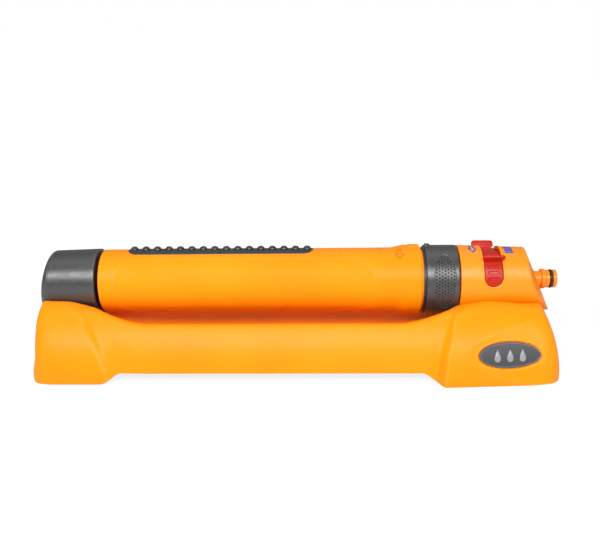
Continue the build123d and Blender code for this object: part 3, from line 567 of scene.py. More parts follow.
class BaseForm:
    """Outer surface, crest, trough and underside of the base, in millimetres.

    A ramp holds the start and the length of a smooth rise. Places along X count from an end of the base, the
    cap or the housing, and places beside a crease count from that crease.
    """
    # Straight middle, between the two round ends
    near_inset = 62.0
    far_inset = 73.0
    # Round sides, from the ground to the rim
    rim_half = 30.0
    arch_radius = 66.0
    rail_half = 64.5
    right_half = 73.8
    right_taper = 6.5
    right_length = 99.0
    recess_ramp = (1.0, 14.0)
    # Left foot: its crease has a place at the ground, a slope and a bend
    left_crease_line = (69.15, 0.27, 0.0045)
    left_step = 2.0
    left_step_ramp = (1.0, 7.0)
    left_recess = 1.4
    left_recess_ramp = (8.0, 30.0)
    # Right foot: its crease has a place, the height where it lies furthest left, and a bend
    right_crease_line = (105.5, 12.0, 0.0084)
    right_edge = 0.5
    right_flare = 2.0
    right_flare_ramp = (0.0, 14.0)
    right_ease = 8.0
    right_ease_loss = 4.0
    right_ease_ramp = (36.0, 16.0)
    right_groove = 0.5
    right_groove_place = -1.0
    right_groove_width = 4.0
    # Facet and bezel round the badge
    facet_start = 82.75
    facet_middle = 25.2
    facet_bend = 3.2
    facet_depth = 3.0
    facet_slope = 0.0966
    facet_end_ramp = (-31.65, 28.0)
    bezel_ramp = (1.3, 1.0)
    # End walls
    left_inset = 1.7
    left_lean = 2.2
    left_lean_ramp = (6.0, 16.0)
    left_curl = 2.8
    left_curl_start = 46.0
    left_curl_height = 15.0
    right_lean = 15.0
    # Lower edge
    rail_bottom = 8.8
    left_bottom_ramp = (62.3, 18.5)
    right_bottom_ramp = (-117.2, 17.0)
    lower_edge = 1.2
    # Crest
    rail_rim = 46.7
    left_rise = 15.3
    left_rise_ramp = (21.0, 82.0)
    left_dip = 1.3
    left_dip_place = 41.5
    left_dip_width = 8.0
    right_rise = 14.5
    right_rise_ramp = (-138.0, 82.0)
    right_fall = 2.6
    right_fall_start = 61.65
    right_fall_length = 45.0
    right_fall_power = 1.5
    crest_ease = 3.2
    crest_margin = 0.05
    thinnest = 2.4
    # Trough and underside
    seat_gap = 0.4
    cap_seat_ramp = (-26.0, 38.0)
    housing_seat_ramp = (-10.0, 9.0)
    trough_start = 0.93
    ceiling_drop = 1.6

    def __init__(self, sizes):
        self.wall = sizes.wall
        self.crest_width = sizes.crest_width
        self.corner_power = sizes.corner_power
        self.near = BASE_LOW.x + self.near_inset
        self.far = BASE_HIGH.x - self.far_inset
        self.badge_middle = (BADGE_LOW + BADGE_HIGH) / 2 + BADGE_SHIFT
        self.badge_half = (BADGE_HIGH - BADGE_LOW) / 2 - BADGE_TRIM
        self.badge_seat = 0.0

    def arch(self, ground, z):
        """Half width at a height of the round side that starts at a half width on the ground."""
        rim = Vector((self.rim_half, RIM_HEIGHT))
        foot = Vector((ground, 0.0))
        chord = rim - foot
        inward = Vector((-chord.y, chord.x)).normalized()
        reach = math.sqrt(self.arch_radius ** 2 - (chord.length / 2) ** 2)
        centre = (rim + foot) / 2 + inward * reach
        return centre.x + math.sqrt(max(self.arch_radius ** 2 - (z - centre.y) ** 2, 0.0))

    def left_foot(self, x, z):
        """Extra half width of the left foot, and the recess of the rails beside it."""
        place, slope, bend = self.left_crease_line
        past = x - (BASE_LOW.x + place - slope * z - bend * z * z)
        rail_share = ramp(past, *self.left_step_ramp)
        recess = self.left_recess * rail_share * (1 - ramp(past, *self.left_recess_ramp))
        return self.left_step * (1 - rail_share) - recess * ramp(z, *self.recess_ramp)

    def right_foot(self, x, z, rail):
        """Extra half width of the right foot, and the groove of the rails beside it."""
        place, height, bend = self.right_crease_line
        past = x - (BASE_HIGH.x - place + bend * (z - height) ** 2)
        edge = self.right_edge - self.right_flare * (1 - ramp(z, *self.right_flare_ramp))
        ease = self.right_ease - self.right_ease_loss * ramp(z, *self.right_ease_ramp)
        along = max(x - (BASE_HIGH.x - self.right_length), 0.0) / self.right_length
        taper = self.right_taper * along * (1 - z / RIM_HEIGHT)
        step = (self.arch(self.right_half, z) - rail - taper) * ramp(past, edge, ease)
        groove = self.right_groove * bell(past, self.right_groove_place, self.right_groove_width)
        return step - groove * ramp(z, *self.recess_ramp)

    def facet(self, x, z):
        """Depth of the facet round the badge, behind its curved left edge."""
        from_end = x - BASE_HIGH.x
        past = max(from_end + self.facet_start - ((z - self.facet_middle) / self.facet_bend) ** 2, 0.0)
        depth = self.facet_depth * math.tanh(self.facet_slope * past / self.facet_depth)
        return depth * (1 - ramp(from_end, *self.facet_end_ramp))

    def flank(self, x, z):
        """Half width of the rails and the feet, without the badge's seat."""
        rail = self.arch(self.rail_half, z)
        return rail + self.left_foot(x, z) + self.right_foot(x, z, rail) - self.facet(x, z)

    def seat_share(self, x, z):
        """One inside the badge's seat, zero outside its bezel."""
        across = x - self.badge_middle.x
        upright = z - self.badge_middle.z
        share = math.hypot(across / self.badge_half.x, upright / self.badge_half.z)
        beyond = math.hypot(across, upright) * (1 - 1 / max(share, 0.01))
        return 1 - ramp(beyond, *self.bezel_ramp)

    def half_width(self, x, z):
        """Half width of the rails and the feet, with the badge's seat sunk into it."""
        return self.flank(x, z) - self.badge_seat * self.seat_share(x, z)

    def face(self, x, z):
        """Half width of the right foot with its rounded end corner, without the badge's seat."""
        share = max(x - self.far, 0.0) / (self.end_reach(1, z) - self.far)
        return self.flank(x, z) * (1 - share ** self.corner_power) ** (1 / self.corner_power)

    def end_reach(self, side, z):
        """Place of the end wall along X at a height."""
        if side > 0:
            return BASE_HIGH.x - self.right_lean * (z / RIM_HEIGHT) ** 2
        lean = self.left_lean * ramp(z, *self.left_lean_ramp)
        curl = self.left_curl * (max(z - self.left_curl_start, 0.0) / self.left_curl_height) ** 2
        return BASE_LOW.x + self.left_inset + lean + curl

    def bottom(self, x):
        """Height of the lower edge: on the ground at the feet, raised along the rails."""
        left = ramp(x - BASE_LOW.x, *self.left_bottom_ramp)
        right = 1 - ramp(x - BASE_HIGH.x, *self.right_bottom_ramp)
        return self.rail_bottom * left * right

    def rim(self, x):
        """Height of the crest along the front and the rear."""
        left = self.left_rise * (1 - ramp(x - BASE_LOW.x, *self.left_rise_ramp))
        left -= self.left_dip * bell(x - BASE_LOW.x, self.left_dip_place, self.left_dip_width)
        right = self.right_rise * ramp(x - BASE_HIGH.x, *self.right_rise_ramp)
        past = max(x - BASE_HIGH.x + self.right_fall_start, 0.0)
        right -= self.right_fall * (past / self.right_fall_length) ** self.right_fall_power
        return self.rail_rim + left + right

    def seat(self, x):
        """Radius of the trough about the barrel's axis."""
        crest = self.rim(x)
        free = self.half_width(x, crest) - self.crest_width
        open_seat = math.hypot(free, AXIS - crest)
        if x < CAP_HIGH.x + sum(self.cap_seat_ramp):
            close_seat = mix(*CAP_RADII, (x - CAP_LOW.x) / (CAP_HIGH.x - CAP_LOW.x)) + self.seat_gap
            return mix(close_seat, open_seat, ramp(x - CAP_HIGH.x, *self.cap_seat_ramp))
        close_seat = housing_radius(x) + self.seat_gap
        return mix(open_seat, close_seat, ramp(x - HOUSING_LOW.x, *self.housing_seat_ramp))

    def reach(self, origin, turn, z):
        """Distance from the middle line to the outer wall, in a direction turned from the front."""
        if turn == 0:
            return self.half_width(origin, z)
        end = abs((self.end_reach(turn, z) - origin) / math.sin(turn))
        across = max(math.cos(turn), 1e-6)
        power = self.corner_power
        reach = min(end, self.half_width(origin, z) / across)
        for _ in range(REACH_ROUNDS):
            flank = self.half_width(origin + reach * math.sin(turn), z) / across
            reach = (flank ** -power + end ** -power) ** (-1 / power)
        return reach

    def trough(self, origin, turn, distance):
        """Height of the trough at a distance from the middle line."""
        x = origin + distance * math.sin(turn)
        y = distance * math.cos(turn)
        return AXIS - math.sqrt(max(self.seat(x) ** 2 - y * y, 0.0))

    def crest(self, origin, turn):
        """Height of the crest in one direction, with the distances of its outer and inner edges."""
        height = self.rim(origin)
        for _ in range(CREST_ROUNDS):
            outer = self.reach(origin, turn, height)
            x = origin + outer * math.sin(turn)
            height = min(self.rim(x), self.trough(origin, turn, outer - self.thinnest))
        low, high = 0.0, outer - self.thinnest
        for _ in range(CREST_HALVINGS):
            inner = (low + high) / 2
            if self.trough(origin, turn, inner) < height - self.crest_margin:
                low = inner
            else:
                high = inner
        return height, outer, inner

    def wall_rows(self, origin, turn, bottom, top):
        """Rows up the outer wall, from its rounded lower edge."""
        edge = self.lower_edge
        foot = self.reach(origin, turn, bottom + edge)
        rows = [(foot - edge * (1 - math.sin(lift)), bottom + edge * (1 - math.cos(lift)))
                for lift in spread(0.0, math.pi / 2, LIP_ROWS + 1)[:-1]]
        return rows + [(self.reach(origin, turn, z), z) for z in spread(bottom + edge, top, WALL_ROWS)]

    def trough_rows(self, origin, turn, inner):
        """Rows from the crest's inner side down to the middle of the trough."""
        lean = math.asin(min(inner * math.cos(turn) / self.seat(origin + inner * math.sin(turn)), 1.0))
        lean = max(lean, 1e-3)
        places = [inner * math.sin(share * lean) / math.sin(lean)
                  for share in spread(self.trough_start, 0.0, TROUGH_ROWS)]
        return [(distance, self.trough(origin, turn, distance)) for distance in places]

    def under_rows(self, origin, turn, bottom, ceiling):
        """Rows of the hollow underside, from the middle out to the lower edge."""
        join = self.reach(origin, turn, ceiling) - self.wall
        rows = [(distance, min(self.trough(origin, turn, distance) - self.wall, ceiling))
                for distance in spread(0.0, join, UNDER_ROWS)]
        rows += [(self.reach(origin, turn, z) - self.wall, z) for z in spread(ceiling, bottom, INNER_ROWS)]
        return rows

    def section(self, origin, turn):
        """Rows of (distance, height) from the lower edge over the crest to the middle, and back below."""
        bottom = self.bottom(origin) if turn == 0 else 0.0
        height, outer, inner = self.crest(origin, turn)
        wall = self.wall_rows(origin, turn, bottom, height - self.crest_ease)
        trough = self.trough_rows(origin, turn, inner)
        curve = [Vector(wall[-1]), Vector((outer, height)), Vector((inner, height)), Vector(trough[0])]
        crest = [tuple(eased(curve, step / CREST_ROWS)) for step in range(1, CREST_ROWS)]
        under = self.under_rows(origin, turn, bottom, height - self.ceiling_drop * self.wall)
        return wall + crest + trough + under

    def stations(self):
        """Half planes (place along X, turn) from the left end round to the right end."""
        left = [self.near + COARSE_PITCH * step for step in range(LEFT_STATIONS)]
        middle = spread(self.near + MIDDLE_MARGINS[0], self.far - MIDDLE_MARGINS[1], MIDDLE_STATIONS)
        foot = [self.far - FINE_PITCH * step for step in range(FOOT_STATIONS)]
        crease = [foot[-1] - COARSE_PITCH * (step + 1) for step in range(CREASE_STATIONS)]
        planes = [(self.near, turn) for turn in spread(-math.pi / 2, 0.0, TURN_STATIONS)[:-1]]
        planes += [(x, 0.0) for x in sorted(left + middle + foot + crease)]
        planes += [(self.far, turn) for turn in spread(0.0, math.pi / 2, TURN_STATIONS)[1:]]
        return planes


def base_moulding(sizes):
    """Yellow base in one skin: rails, feet, trough and hollow underside."""
    form = BaseForm(sizes)
    planes = form.stations()
    halves = []
    for side in (-1, 1):
        form.badge_seat = BADGE_SEAT if side < 0 else 0.0
        sections = [form.section(*plane) for plane in planes]
        points = []
        for (origin, turn), section in zip(planes, sections):
            for distance, z in section:
                points.append((origin + distance * math.sin(turn), side * distance * math.cos(turn), z))
        halves.append((points, grid_faces(len(planes), len(sections[0]), False, True)))
    skin = joined(*halves)
    built("base_moulding", skin, "yellow_base", "base", ["base_frame"], BASE_CREASE_ANGLE)


# Badge

BADGE_DEPTH = 2.2
BADGE_STEPS = 96
BADGE_RIM = ((0.0, -BADGE_DEPTH), (0.0, -0.15), (0.12, 0.03), (0.3, 0.1), (1.0, 0.1), (1.2, 0.0),
             (1.3, -0.25), (1.3, -BADGE_DEPTH))
BADGE_BEZEL = ((-3.4, -0.3), (-3.2, 0.05), (-2.5, 0.2), (-1.9, 0.12), (-1.5, -0.15), (-1.1, -0.7),
               (-0.8, -1.6), (-0.8, -BADGE_DEPTH), (-3.4, -BADGE_DEPTH))
BADGE_FIELD_INSET = 1.28
BADGE_FIELD_LOW = -0.25
BADGE_FIELD_ROWS = 14
BADGE_DOME = 0.5
DROP_SIZE = (3.9, 5.2)
DROP_COUNT = 3
DROP_PITCH = 10.4
DROP_LIFT = 0.9
DROP_SINK = 0.15
DROP_RINGS = 7
DROP_SEGMENTS = 28
DROP_POINT = 1.4


def droplet():
    """Flat-bottomed water drop, point upward, about the origin."""
    points = []
    for share in spread(0.0, 1.0, DROP_RINGS + 1):
        for turn in full_turn(DROP_SEGMENTS):
            narrow = math.sin(turn / 2) ** DROP_POINT
            x = DROP_SIZE[0] * math.sin(turn) * narrow * share
            y = DROP_SIZE[1] * math.cos(turn) * share
            points.append((x, y, DROP_LIFT * math.sqrt(1 - share ** 3)))
    faces = grid_faces(DROP_RINGS + 1, DROP_SEGMENTS, False, True)
    faces.append(tuple(DROP_RINGS * DROP_SEGMENTS + step for step in range(DROP_SEGMENTS)))
    return points, faces


def badge_pieces(sizes):
    """Oval badge on the right foot: pale rim, bezel, dark domed field and a row of raised drops."""
    form = BaseForm(sizes)
    middle = form.badge_middle
    half = form.badge_half
    turns = full_turn(BADGE_STEPS)

    def at(across, upright, height):
        x = middle.x + across
        z = middle.z + upright
        return x, -form.face(x, z) - height, z

    def ovals(rows, closed):
        points = []
        for inset, height, share in rows:
            wide, tall = (half.x - inset) * share, (half.z - inset) * share
            points += [at(wide * math.cos(turn), tall * math.sin(turn), height) for turn in turns]
        return points, grid_faces(len(rows), len(turns), closed, True)

    def dome(share):
        return BADGE_FIELD_LOW + BADGE_DOME * (1 - share * share)

    def on_field(across, upright, height):
        share = math.hypot(across / (half.x - BADGE_FIELD_INSET), upright / (half.z - BADGE_FIELD_INSET))
        return at(across, upright, dome(min(share, 1.0)) + height - DROP_SINK)

    rim = ovals([(*row, 1.0) for row in BADGE_RIM], True)
    built("badge_rim", rim, "badge_rim", "base", ["front_badge"])
    bezel = ovals([(*row, 1.0) for row in BADGE_BEZEL], True)
    built("badge_bezel", bezel, "yellow_base", "base")
    rows = [(BADGE_FIELD_INSET, -BADGE_DEPTH, share) for share in (0.0, 1.0)]
    rows += [(BADGE_FIELD_INSET, dome(share), share) for share in spread(1.0, 0.0, BADGE_FIELD_ROWS)]
    built("badge_field", ovals(rows, False), "badge", "base")
    drops = repeated(droplet(), "badge_motif", DROP_COUNT, 1, (DROP_PITCH, 1.0))
    built("badge_drops", laid(drops, on_field), "badge_motif", "base")


# Cap, barrel and collar

CAP_SLANT = math.radians(9.0)
CAP_REACH = 1.5
CAP_LIP = (0.9, 0.6)
CAP_SEGMENTS = 144
CAP_RUN = 3.0
PANEL_ANGLES = (math.radians(34.0), math.radians(145.0))
PANEL_EDGE = 2.0
STRIP_BED = 1.2
STRIP_BED_EDGE = 0.2
BARREL_SEGMENTS = 180
BARREL_RUN = 1.8
OUTER_SKIN = 1.0
FLARE_LENGTH = 14.0
FLARE_ROWS = 15
NECK_REACH = 0.5
PAD_SIZE = (10.0, 7.0, 0.9)
PAD_CORNER = 1.5
PAD_EDGE = 0.8
RING_SEGMENTS = 300
COLLAR_RUN = 0.9
ARROW_RUN = 0.8
ARROW = ((0.0, -6.4), (3.9, -0.8), (1.7, -0.8), (1.7, 6.6), (-1.7, 6.6), (-1.7, -0.8), (-3.9, -0.8))
ARROW_ANGLE = math.radians(25.0)
ARROW_BEAD = ((-0.42, -0.4), (-0.36, 0.3), (0.0, 0.5), (0.36, 0.3), (0.42, -0.4))


def cap_shell(sizes):
    """Grey end cap with its leaning left end and its rounded right lip."""
    left, right = CAP_LOW.x - CAP_REACH, CAP_HIGH.x
    low, high = CAP_RADII
    wall, corner = sizes.cap_wall, sizes.cap_corner
    outline = [(left, 0.0, 0.0), (left, low, corner), (right, high, CAP_LIP[0]),
               (right, high - wall, CAP_LIP[1]), (left + wall, low - wall, corner - wall),
               (left + wall, 0.0, 0.0)]

    def leaning(x, radius, angle):
        end = (high + radius * math.cos(angle)) * math.tan(CAP_SLANT)
        return x + end * (right - x) / (right - left), radius

    profile = divided(rounded(outline), CAP_RUN, closed=False)
    cap = turned(profile, CAP_SEGMENTS, leaning, closed=False)
    built("cap_shell", cap, "grey", "base", ["end_cap"])


def panel_share(sizes, x, angle):
    """One inside the sunken panels on the barrel's sides, zero outside them."""
    left, right = BARREL_LOW.x + sizes.panel_inset, BARREL_HIGH.x - sizes.panel_inset
    radius = BARREL_RADII[1]
    start, end = PANEL_ANGLES
    turn = abs(from_top(angle, 1.0))
    depth = inside(x - (left + right) / 2, (turn - (start + end) / 2) * radius,
                   (right - left) / 2, (end - start) / 2 * radius, sizes.panel_corner)
    return softened(depth, PANEL_EDGE)


def barrel_tube(sizes):
    """Yellow barrel with a bed for the strips and a sunken matte panel along its front and its rear."""
    left, right = BARREL_LOW.x, BARREL_HIGH.x
    outline = [(left, BARREL_BORE, 0.4), (left, BARREL_RADII[0], 1.2), (right, BARREL_RADII[1], 0.1),
               (right, BARREL_BORE, 0.1)]

    def sunken(x, radius, angle):
        if radius < BARREL_RADII[0] - OUTER_SKIN:
            return x, radius
        bed = inside(x - STRIP_MIDDLE, from_top(angle, radius),
                     STRIP_HIGH.x - STRIP_MIDDLE, STRIP_HALF, STRIP_HALF)
        depth = sizes.panel_depth * panel_share(sizes, x, angle) + STRIP_BED * smooth(bed - STRIP_BED_EDGE)
        return x, radius - depth

    tube = turned(divided(rounded(outline), BARREL_RUN), BARREL_SEGMENTS, sunken)
    piece = built("barrel_tube", tube, "yellow_barrel", "barrel", ["spray_barrel"])
    mark_patch(piece.data, lambda x, y, z: panel_share(sizes, x, math.atan2(-y, z - AXIS)))


def barrel_collar(sizes):
    """Flared collar at the barrel's right end, with its index pad and a raised arrow."""
    left = BARREL_HIGH.x
    flare = [(mix(left, left + FLARE_LENGTH, share), mix(BARREL_RADII[1], COLLAR_RADIUS, smooth(share)), 0.0)
             for share in spread(0.0, 1.0, FLARE_ROWS)[1:]]
    neck_right = RING_HIGH.x + NECK_REACH
    outline = [(left, BARREL_BORE, 0.1), (left, BARREL_RADII[1], 0.1), *flare,
               (COLLAR_RIGHT, COLLAR_RADIUS, 0.5), (COLLAR_RIGHT, NECK_RADIUS, 0.0),
               (neck_right, NECK_RADIUS, 0.4), (neck_right, BARREL_BORE, 0.4)]
    pad_length, pad_width, pad_lift = PAD_SIZE
    arrow_middle = COLLAR_RIGHT - sizes.arrow_inset

    def padded(x, radius, angle):
        if radius < COLLAR_RADIUS - OUTER_SKIN:
            return x, radius
        depth = inside(x - COLLAR_RIGHT + pad_length / 2, from_top(angle, COLLAR_RADIUS),
                       pad_length / 2, pad_width / 2, PAD_CORNER)
        return x, radius + pad_lift * softened(depth, PAD_EDGE)

    def on_collar(across, along, height):
        return around(arrow_middle + across, COLLAR_RADIUS + height, ARROW_ANGLE - along / COLLAR_RADIUS)

    sleeve = turned(divided(rounded(outline), COLLAR_RUN), RING_SEGMENTS, padded)
    built("collar_sleeve", sleeve, "yellow_barrel", "barrel", ["barrel_collar"])
    # The arrow's bead is drawn in the deeper yellow as painted shade: it stands in for the shaded outline of
    # the moulded arrow.
    arrow = ribbon(divided(ARROW, ARROW_RUN), ARROW_BEAD, on_collar)
    built("collar_arrow", arrow, "yellow_deep", "barrel")


# Nozzle strips

STRIP_FLOOR = BARREL_BORE + 1.0
STRIP_COLUMNS = 42
STRIP_END_COLUMNS = 25
STRIP_ROWS = 29
SEAM_SHARES = (0.15, 0.4, 0.7)
NOZZLE_COUNT = 16
NOZZLE_PITCH = 10.15
NOZZLE_SINK = 0.5
NOZZLE_SWELL = 0.35
NOZZLE_ROOT = 2.0
NOZZLE_DEPTH = 1.6
NOZZLE_FOOT_SHARE = 0.97
NOZZLE_MOUTH_SHARE = 1.3
NOZZLE_BORE_SHARE = 0.9
NOZZLE_LIP = 0.1
NOZZLE_ROWS = 10
NOZZLE_SEGMENTS = 28


def strip_pad(name, node, sizes, side):
    """Half of the soft strip on top of the barrel, with its round end and eased edges."""
    end = STRIP_LOW.x if side < 0 else STRIP_HIGH.x
    round_middle = end - side * STRIP_HALF
    edge = sizes.strip_edge
    top = BARREL_RADII[1] + sizes.strip_proud

    def past_straight(x):
        return max(side * (x - round_middle), 0.0)

    def half_width(x):
        return math.sqrt(max(STRIP_HALF ** 2 - past_straight(x) ** 2, 0.0))

    def height(x, y):
        depth = min(STRIP_HALF - math.hypot(past_straight(x), y), side * (x - STRIP_MIDDLE))
        return top - edge_fall(depth, edge)

    def place(x, y, radius):
        turn = math.asin(y / top)
        return x, radius * math.sin(turn), AXIS + radius * math.cos(turn)

    places = spread(STRIP_MIDDLE, round_middle, STRIP_COLUMNS)
    places += [STRIP_MIDDLE + side * edge * share for share in SEAM_SHARES]
    places += [round_middle + side * STRIP_HALF * math.sin(turn)
               for turn in spread(0.0, math.pi / 2, STRIP_END_COLUMNS)[1:]]
    places.sort(key=lambda x: side * x)
    shares = [math.sin(turn) for turn in spread(-math.pi / 2, math.pi / 2, STRIP_ROWS)]
    rows = [[(x, half_width(x) * share) for share in shares] for x in places]
    built(name, shell(rows, STRIP_FLOOR, height, place), "strip", "barrel", [node])


def nozzle(sizes):
    """Soft domed nozzle with a small bore, standing on the origin."""
    radius = sizes.nozzle_radius
    bore = sizes.nozzle_bore
    start = -math.asin(NOZZLE_SINK / radius)
    finish = math.acos(bore * NOZZLE_MOUTH_SHARE / radius)
    profile = [(radius * NOZZLE_FOOT_SHARE, -NOZZLE_ROOT)]
    for turn in spread(start, finish, NOZZLE_ROWS):
        swell = NOZZLE_SWELL * (1 - abs(turn))
        profile.append((radius * math.cos(turn), radius * math.sin(turn) - NOZZLE_SINK + swell))
    rim = profile[-1][1]
    bottom = rim - NOZZLE_DEPTH
    profile += [(bore, rim - NOZZLE_LIP), (bore * NOZZLE_BORE_SHARE, bottom), (0.0, bottom)]
    turns = full_turn(NOZZLE_SEGMENTS)
    points = [(reach * math.cos(turn), reach * math.sin(turn), z) for reach, z in profile for turn in turns]
    faces = grid_faces(len(profile), NOZZLE_SEGMENTS, False, True)
    faces.append(tuple(reversed(range(NOZZLE_SEGMENTS))))
    return points, faces


def strips(sizes):
    """Two soft strips and their row of nozzles."""
    strip_pad("strip_left", "nozzle_strip_left", sizes, -1)
    strip_pad("strip_right", "nozzle_strip_right", sizes, 1)
    top = AXIS + BARREL_RADII[1] + sizes.strip_proud
    row = repeated(nozzle(sizes), "nozzle", NOZZLE_COUNT, 1, (NOZZLE_PITCH, 1.0))
    built("nozzles", laid(row, lambda x, y, z: (STRIP_MIDDLE + x, y, top + z)), "nozzle", "barrel")


# Selector ring

RING_RIM = (2.4, 2.0)
RIM_LAP = 0.2
RING_RUN = 0.7
RING_SKIN = 0.3
BUMP_SIZE = (7.4, 5.0, 2.1)
BUMP_CORNER = 2.2
BUMP_EDGE = 1.6
BUMP_REACH = 0.35
GRIP_ANGLE = math.radians(80.0)
GRIP_LIFT = 0.05
GRIP_BED = 0.1
GRIP_BED_SHARES = (0.98, 0.06)
GRIP_MARGIN = 0.55
GRIP_CREASE_ANGLE = 50.0
GRIP_BEAD = ((-0.5, -0.5), (-0.42, 0.2), (-0.15, 0.42), (0.15, 0.42), (0.42, 0.2), (0.5, -0.5))
GRIP_BEAD_STEPS = 120
DIMPLE_PROFILE = ((1.0, 0.0), (0.88, 0.4), (0.25, 1.0))
DIMPLE_SEGMENTS = 12


def dimple(sizes):
    """Six-sided tile with a round pit in its middle."""
    border = [sizes.dimple_pitch / (2 if step % 2 else math.sqrt(3)) for step in range(DIMPLE_SEGMENTS)]
    rings = [(border, 0.0)]
    for share, drop in DIMPLE_PROFILE:
        rings.append(([sizes.dimple_radius * share] * DIMPLE_SEGMENTS, -drop * sizes.dimple_depth))
    points = []
    for reaches, z in rings:
        points += [(reach * math.cos(turn), reach * math.sin(turn), z)
                   for reach, turn in zip(reaches, full_turn(DIMPLE_SEGMENTS))]
    faces = grid_faces(len(rings), DIMPLE_SEGMENTS, False, True)
    faces.append(tuple(range(len(points) - DIMPLE_SEGMENTS, len(points))))
    return points, faces


def ring_grip(sizes):
    """Oval field of dimples on the selector ring, with its thin outline."""
    wide, tall = sizes.grip_half_width, sizes.grip_half_height
    pitch = sizes.dimple_pitch
    column = pitch * math.sqrt(3) / 2
    middle = RING_HIGH.x - sizes.grip_inset

    def on_ring(x, y, height):
        return around(middle + x, RING_RADIUS + height, GRIP_ANGLE - y / RING_RADIUS)

    def clipped(x, y, z):
        out = max(math.hypot(x / wide, y / tall), 1.0)
        return on_ring(x / out, y / out, z + GRIP_LIFT if out == 1.0 else GRIP_LIFT)

    columns = 2 * math.ceil(wide / column) + 3
    rows = 2 * math.ceil(tall / pitch) + 3
    kept = (wide + pitch * GRIP_MARGIN, tall + pitch * GRIP_MARGIN)
    field = repeated(dimple(sizes), "grip", columns, rows, (column, pitch), 0.5, kept)
    built("ring_grip", laid(field, clipped), "grip", "selector", crease=GRIP_CREASE_ANGLE)
    oval = [(wide * math.cos(turn), tall * math.sin(turn)) for turn in full_turn(GRIP_BEAD_STEPS)]
    built("ring_grip_outline", ribbon(oval, GRIP_BEAD, on_ring), "grey", "selector")


def selector_ring(sizes):
    """Grey selector ring with its low left rim, index bump and grip."""
    left, right = RING_LOW.x, RING_HIGH.x
    step = left + RING_RIM[0]
    low = RING_RADIUS - RING_RIM[1]
    outline = [(step, RING_BORE, 0.2), (step, RING_RADIUS, 0.4), (right, RING_RADIUS, 1.0),
               (right, RING_BORE, 0.2)]
    rim_outline = [(left, RING_BORE, 0.2), (left, low, 0.2), (step + RIM_LAP, low, 0.1),
                   (step + RIM_LAP, RING_BORE, 0.1)]
    bump_length, bump_width, bump_lift = BUMP_SIZE

    def bumped(x, radius, angle):
        if radius < RING_BORE + RING_SKIN:
            return x, radius
        depth = inside(x - left - bump_length / 2, from_top(angle, RING_RADIUS),
                       bump_length / 2, bump_width / 2, BUMP_CORNER)
        bump = bump_lift * softened(depth, BUMP_EDGE, BUMP_REACH)
        along = (from_top(angle, 1.0) - GRIP_ANGLE) * RING_RADIUS / sizes.grip_half_height
        beside = (x - right + sizes.grip_inset) / sizes.grip_half_width
        end, ease = GRIP_BED_SHARES
        bed = (sizes.dimple_depth + GRIP_BED) * smooth((end - math.hypot(along, beside)) / ease)
        return x, radius + bump - bed

    # The low left rim is drawn black. It is partly a black sleeve and partly painted shade for the dark gap
    # between the collar and the ring.
    for name, profile, finish, nodes in (("selector_sleeve", outline, "grey", ["selector_ring"]),
                                         ("selector_rim", rim_outline, "black", [])):
        part = turned(divided(rounded(profile), RING_RUN), RING_SEGMENTS, bumped)
        built(name, part, finish, "selector", nodes)
    ring_grip(sizes)


# Housing trims

SLOT_HALF = 7.7
SLOT_GAP = 0.3
SLOT_END = math.radians(87.0)
SLOT_RADIUS = housing_radius(SLOT_MIDDLE)
LIP_ROOT = -0.6
LIP_RUN = 1.2
LIP_STEPS = 25
LIP_BEAD_STEPS = 7
PRINT_ARROW = ((0.0, -6.6), (3.4, -0.6), (1.7, -0.6), (1.7, 7.2), (-1.7, 7.2), (-1.7, -0.6), (-3.4, -0.6))
PRINT_ALONG = math.radians(10.0) * SLOT_RADIUS
PRINT_INK = ((-0.7, -0.2), (-0.7, 0.06), (0.7, 0.06), (0.7, -0.2))
MARK_HALF = 3.6
MARK_COUNT = 5
MARK_PITCH = 2.8
MARK_WEIGHT = 1.6


def on_housing(x, along, height):
    """Point over the housing, at a length round it from the top towards the front."""
    return around(x, housing_radius(x) + height, along / SLOT_RADIUS)


def slot_lip(sizes):
    """Rounded lip round the slider slot."""
    half = sizes.lip_width / 2
    reach = SLOT_HALF + SLOT_GAP + half
    end = SLOT_END * SLOT_RADIUS - SLOT_HALF
    path = []
    for side in (1, -1):
        path += [(SLOT_MIDDLE + side * reach * math.cos(turn), side * (end + reach * math.sin(turn)))
                 for turn in spread(0.0, math.pi, LIP_STEPS)]
    bead = [(-half * math.cos(turn), sizes.lip_height * math.sin(turn))
            for turn in spread(0.0, math.pi, LIP_BEAD_STEPS)]
    bead = [(-half, LIP_ROOT), *bead, (half, LIP_ROOT)]
    built("slot_lip", ribbon(divided(path, LIP_RUN), bead, on_housing), "yellow_gloss", "base")


def printed_marks(sizes):
    """Printed arrow on one side of the slot, and short strokes on the other."""
    def beside(inset):
        middle = SLOT_MIDDLE + inset
        return lambda across, along, height: on_housing(middle + across, PRINT_ALONG - along, height)

    arrow = ribbon(divided(PRINT_ARROW, ARROW_RUN), PRINT_INK, beside(-sizes.print_inset))
    built("print_arrow", arrow, "print", "base")
    line = divided(((-MARK_HALF, 0.0), (MARK_HALF, 0.0)), ARROW_RUN, closed=False)
    bold_ink = [(across * MARK_WEIGHT, height) for across, height in PRINT_INK]
    stroke = ribbon(line, bold_ink, lambda x, y, z: (x, y, z), False)
    strokes = repeated(stroke, "print", 1, MARK_COUNT, (1.0, MARK_PITCH))
    built("print_marks", laid(strokes, beside(sizes.print_inset)), "print", "base")


# Sliders

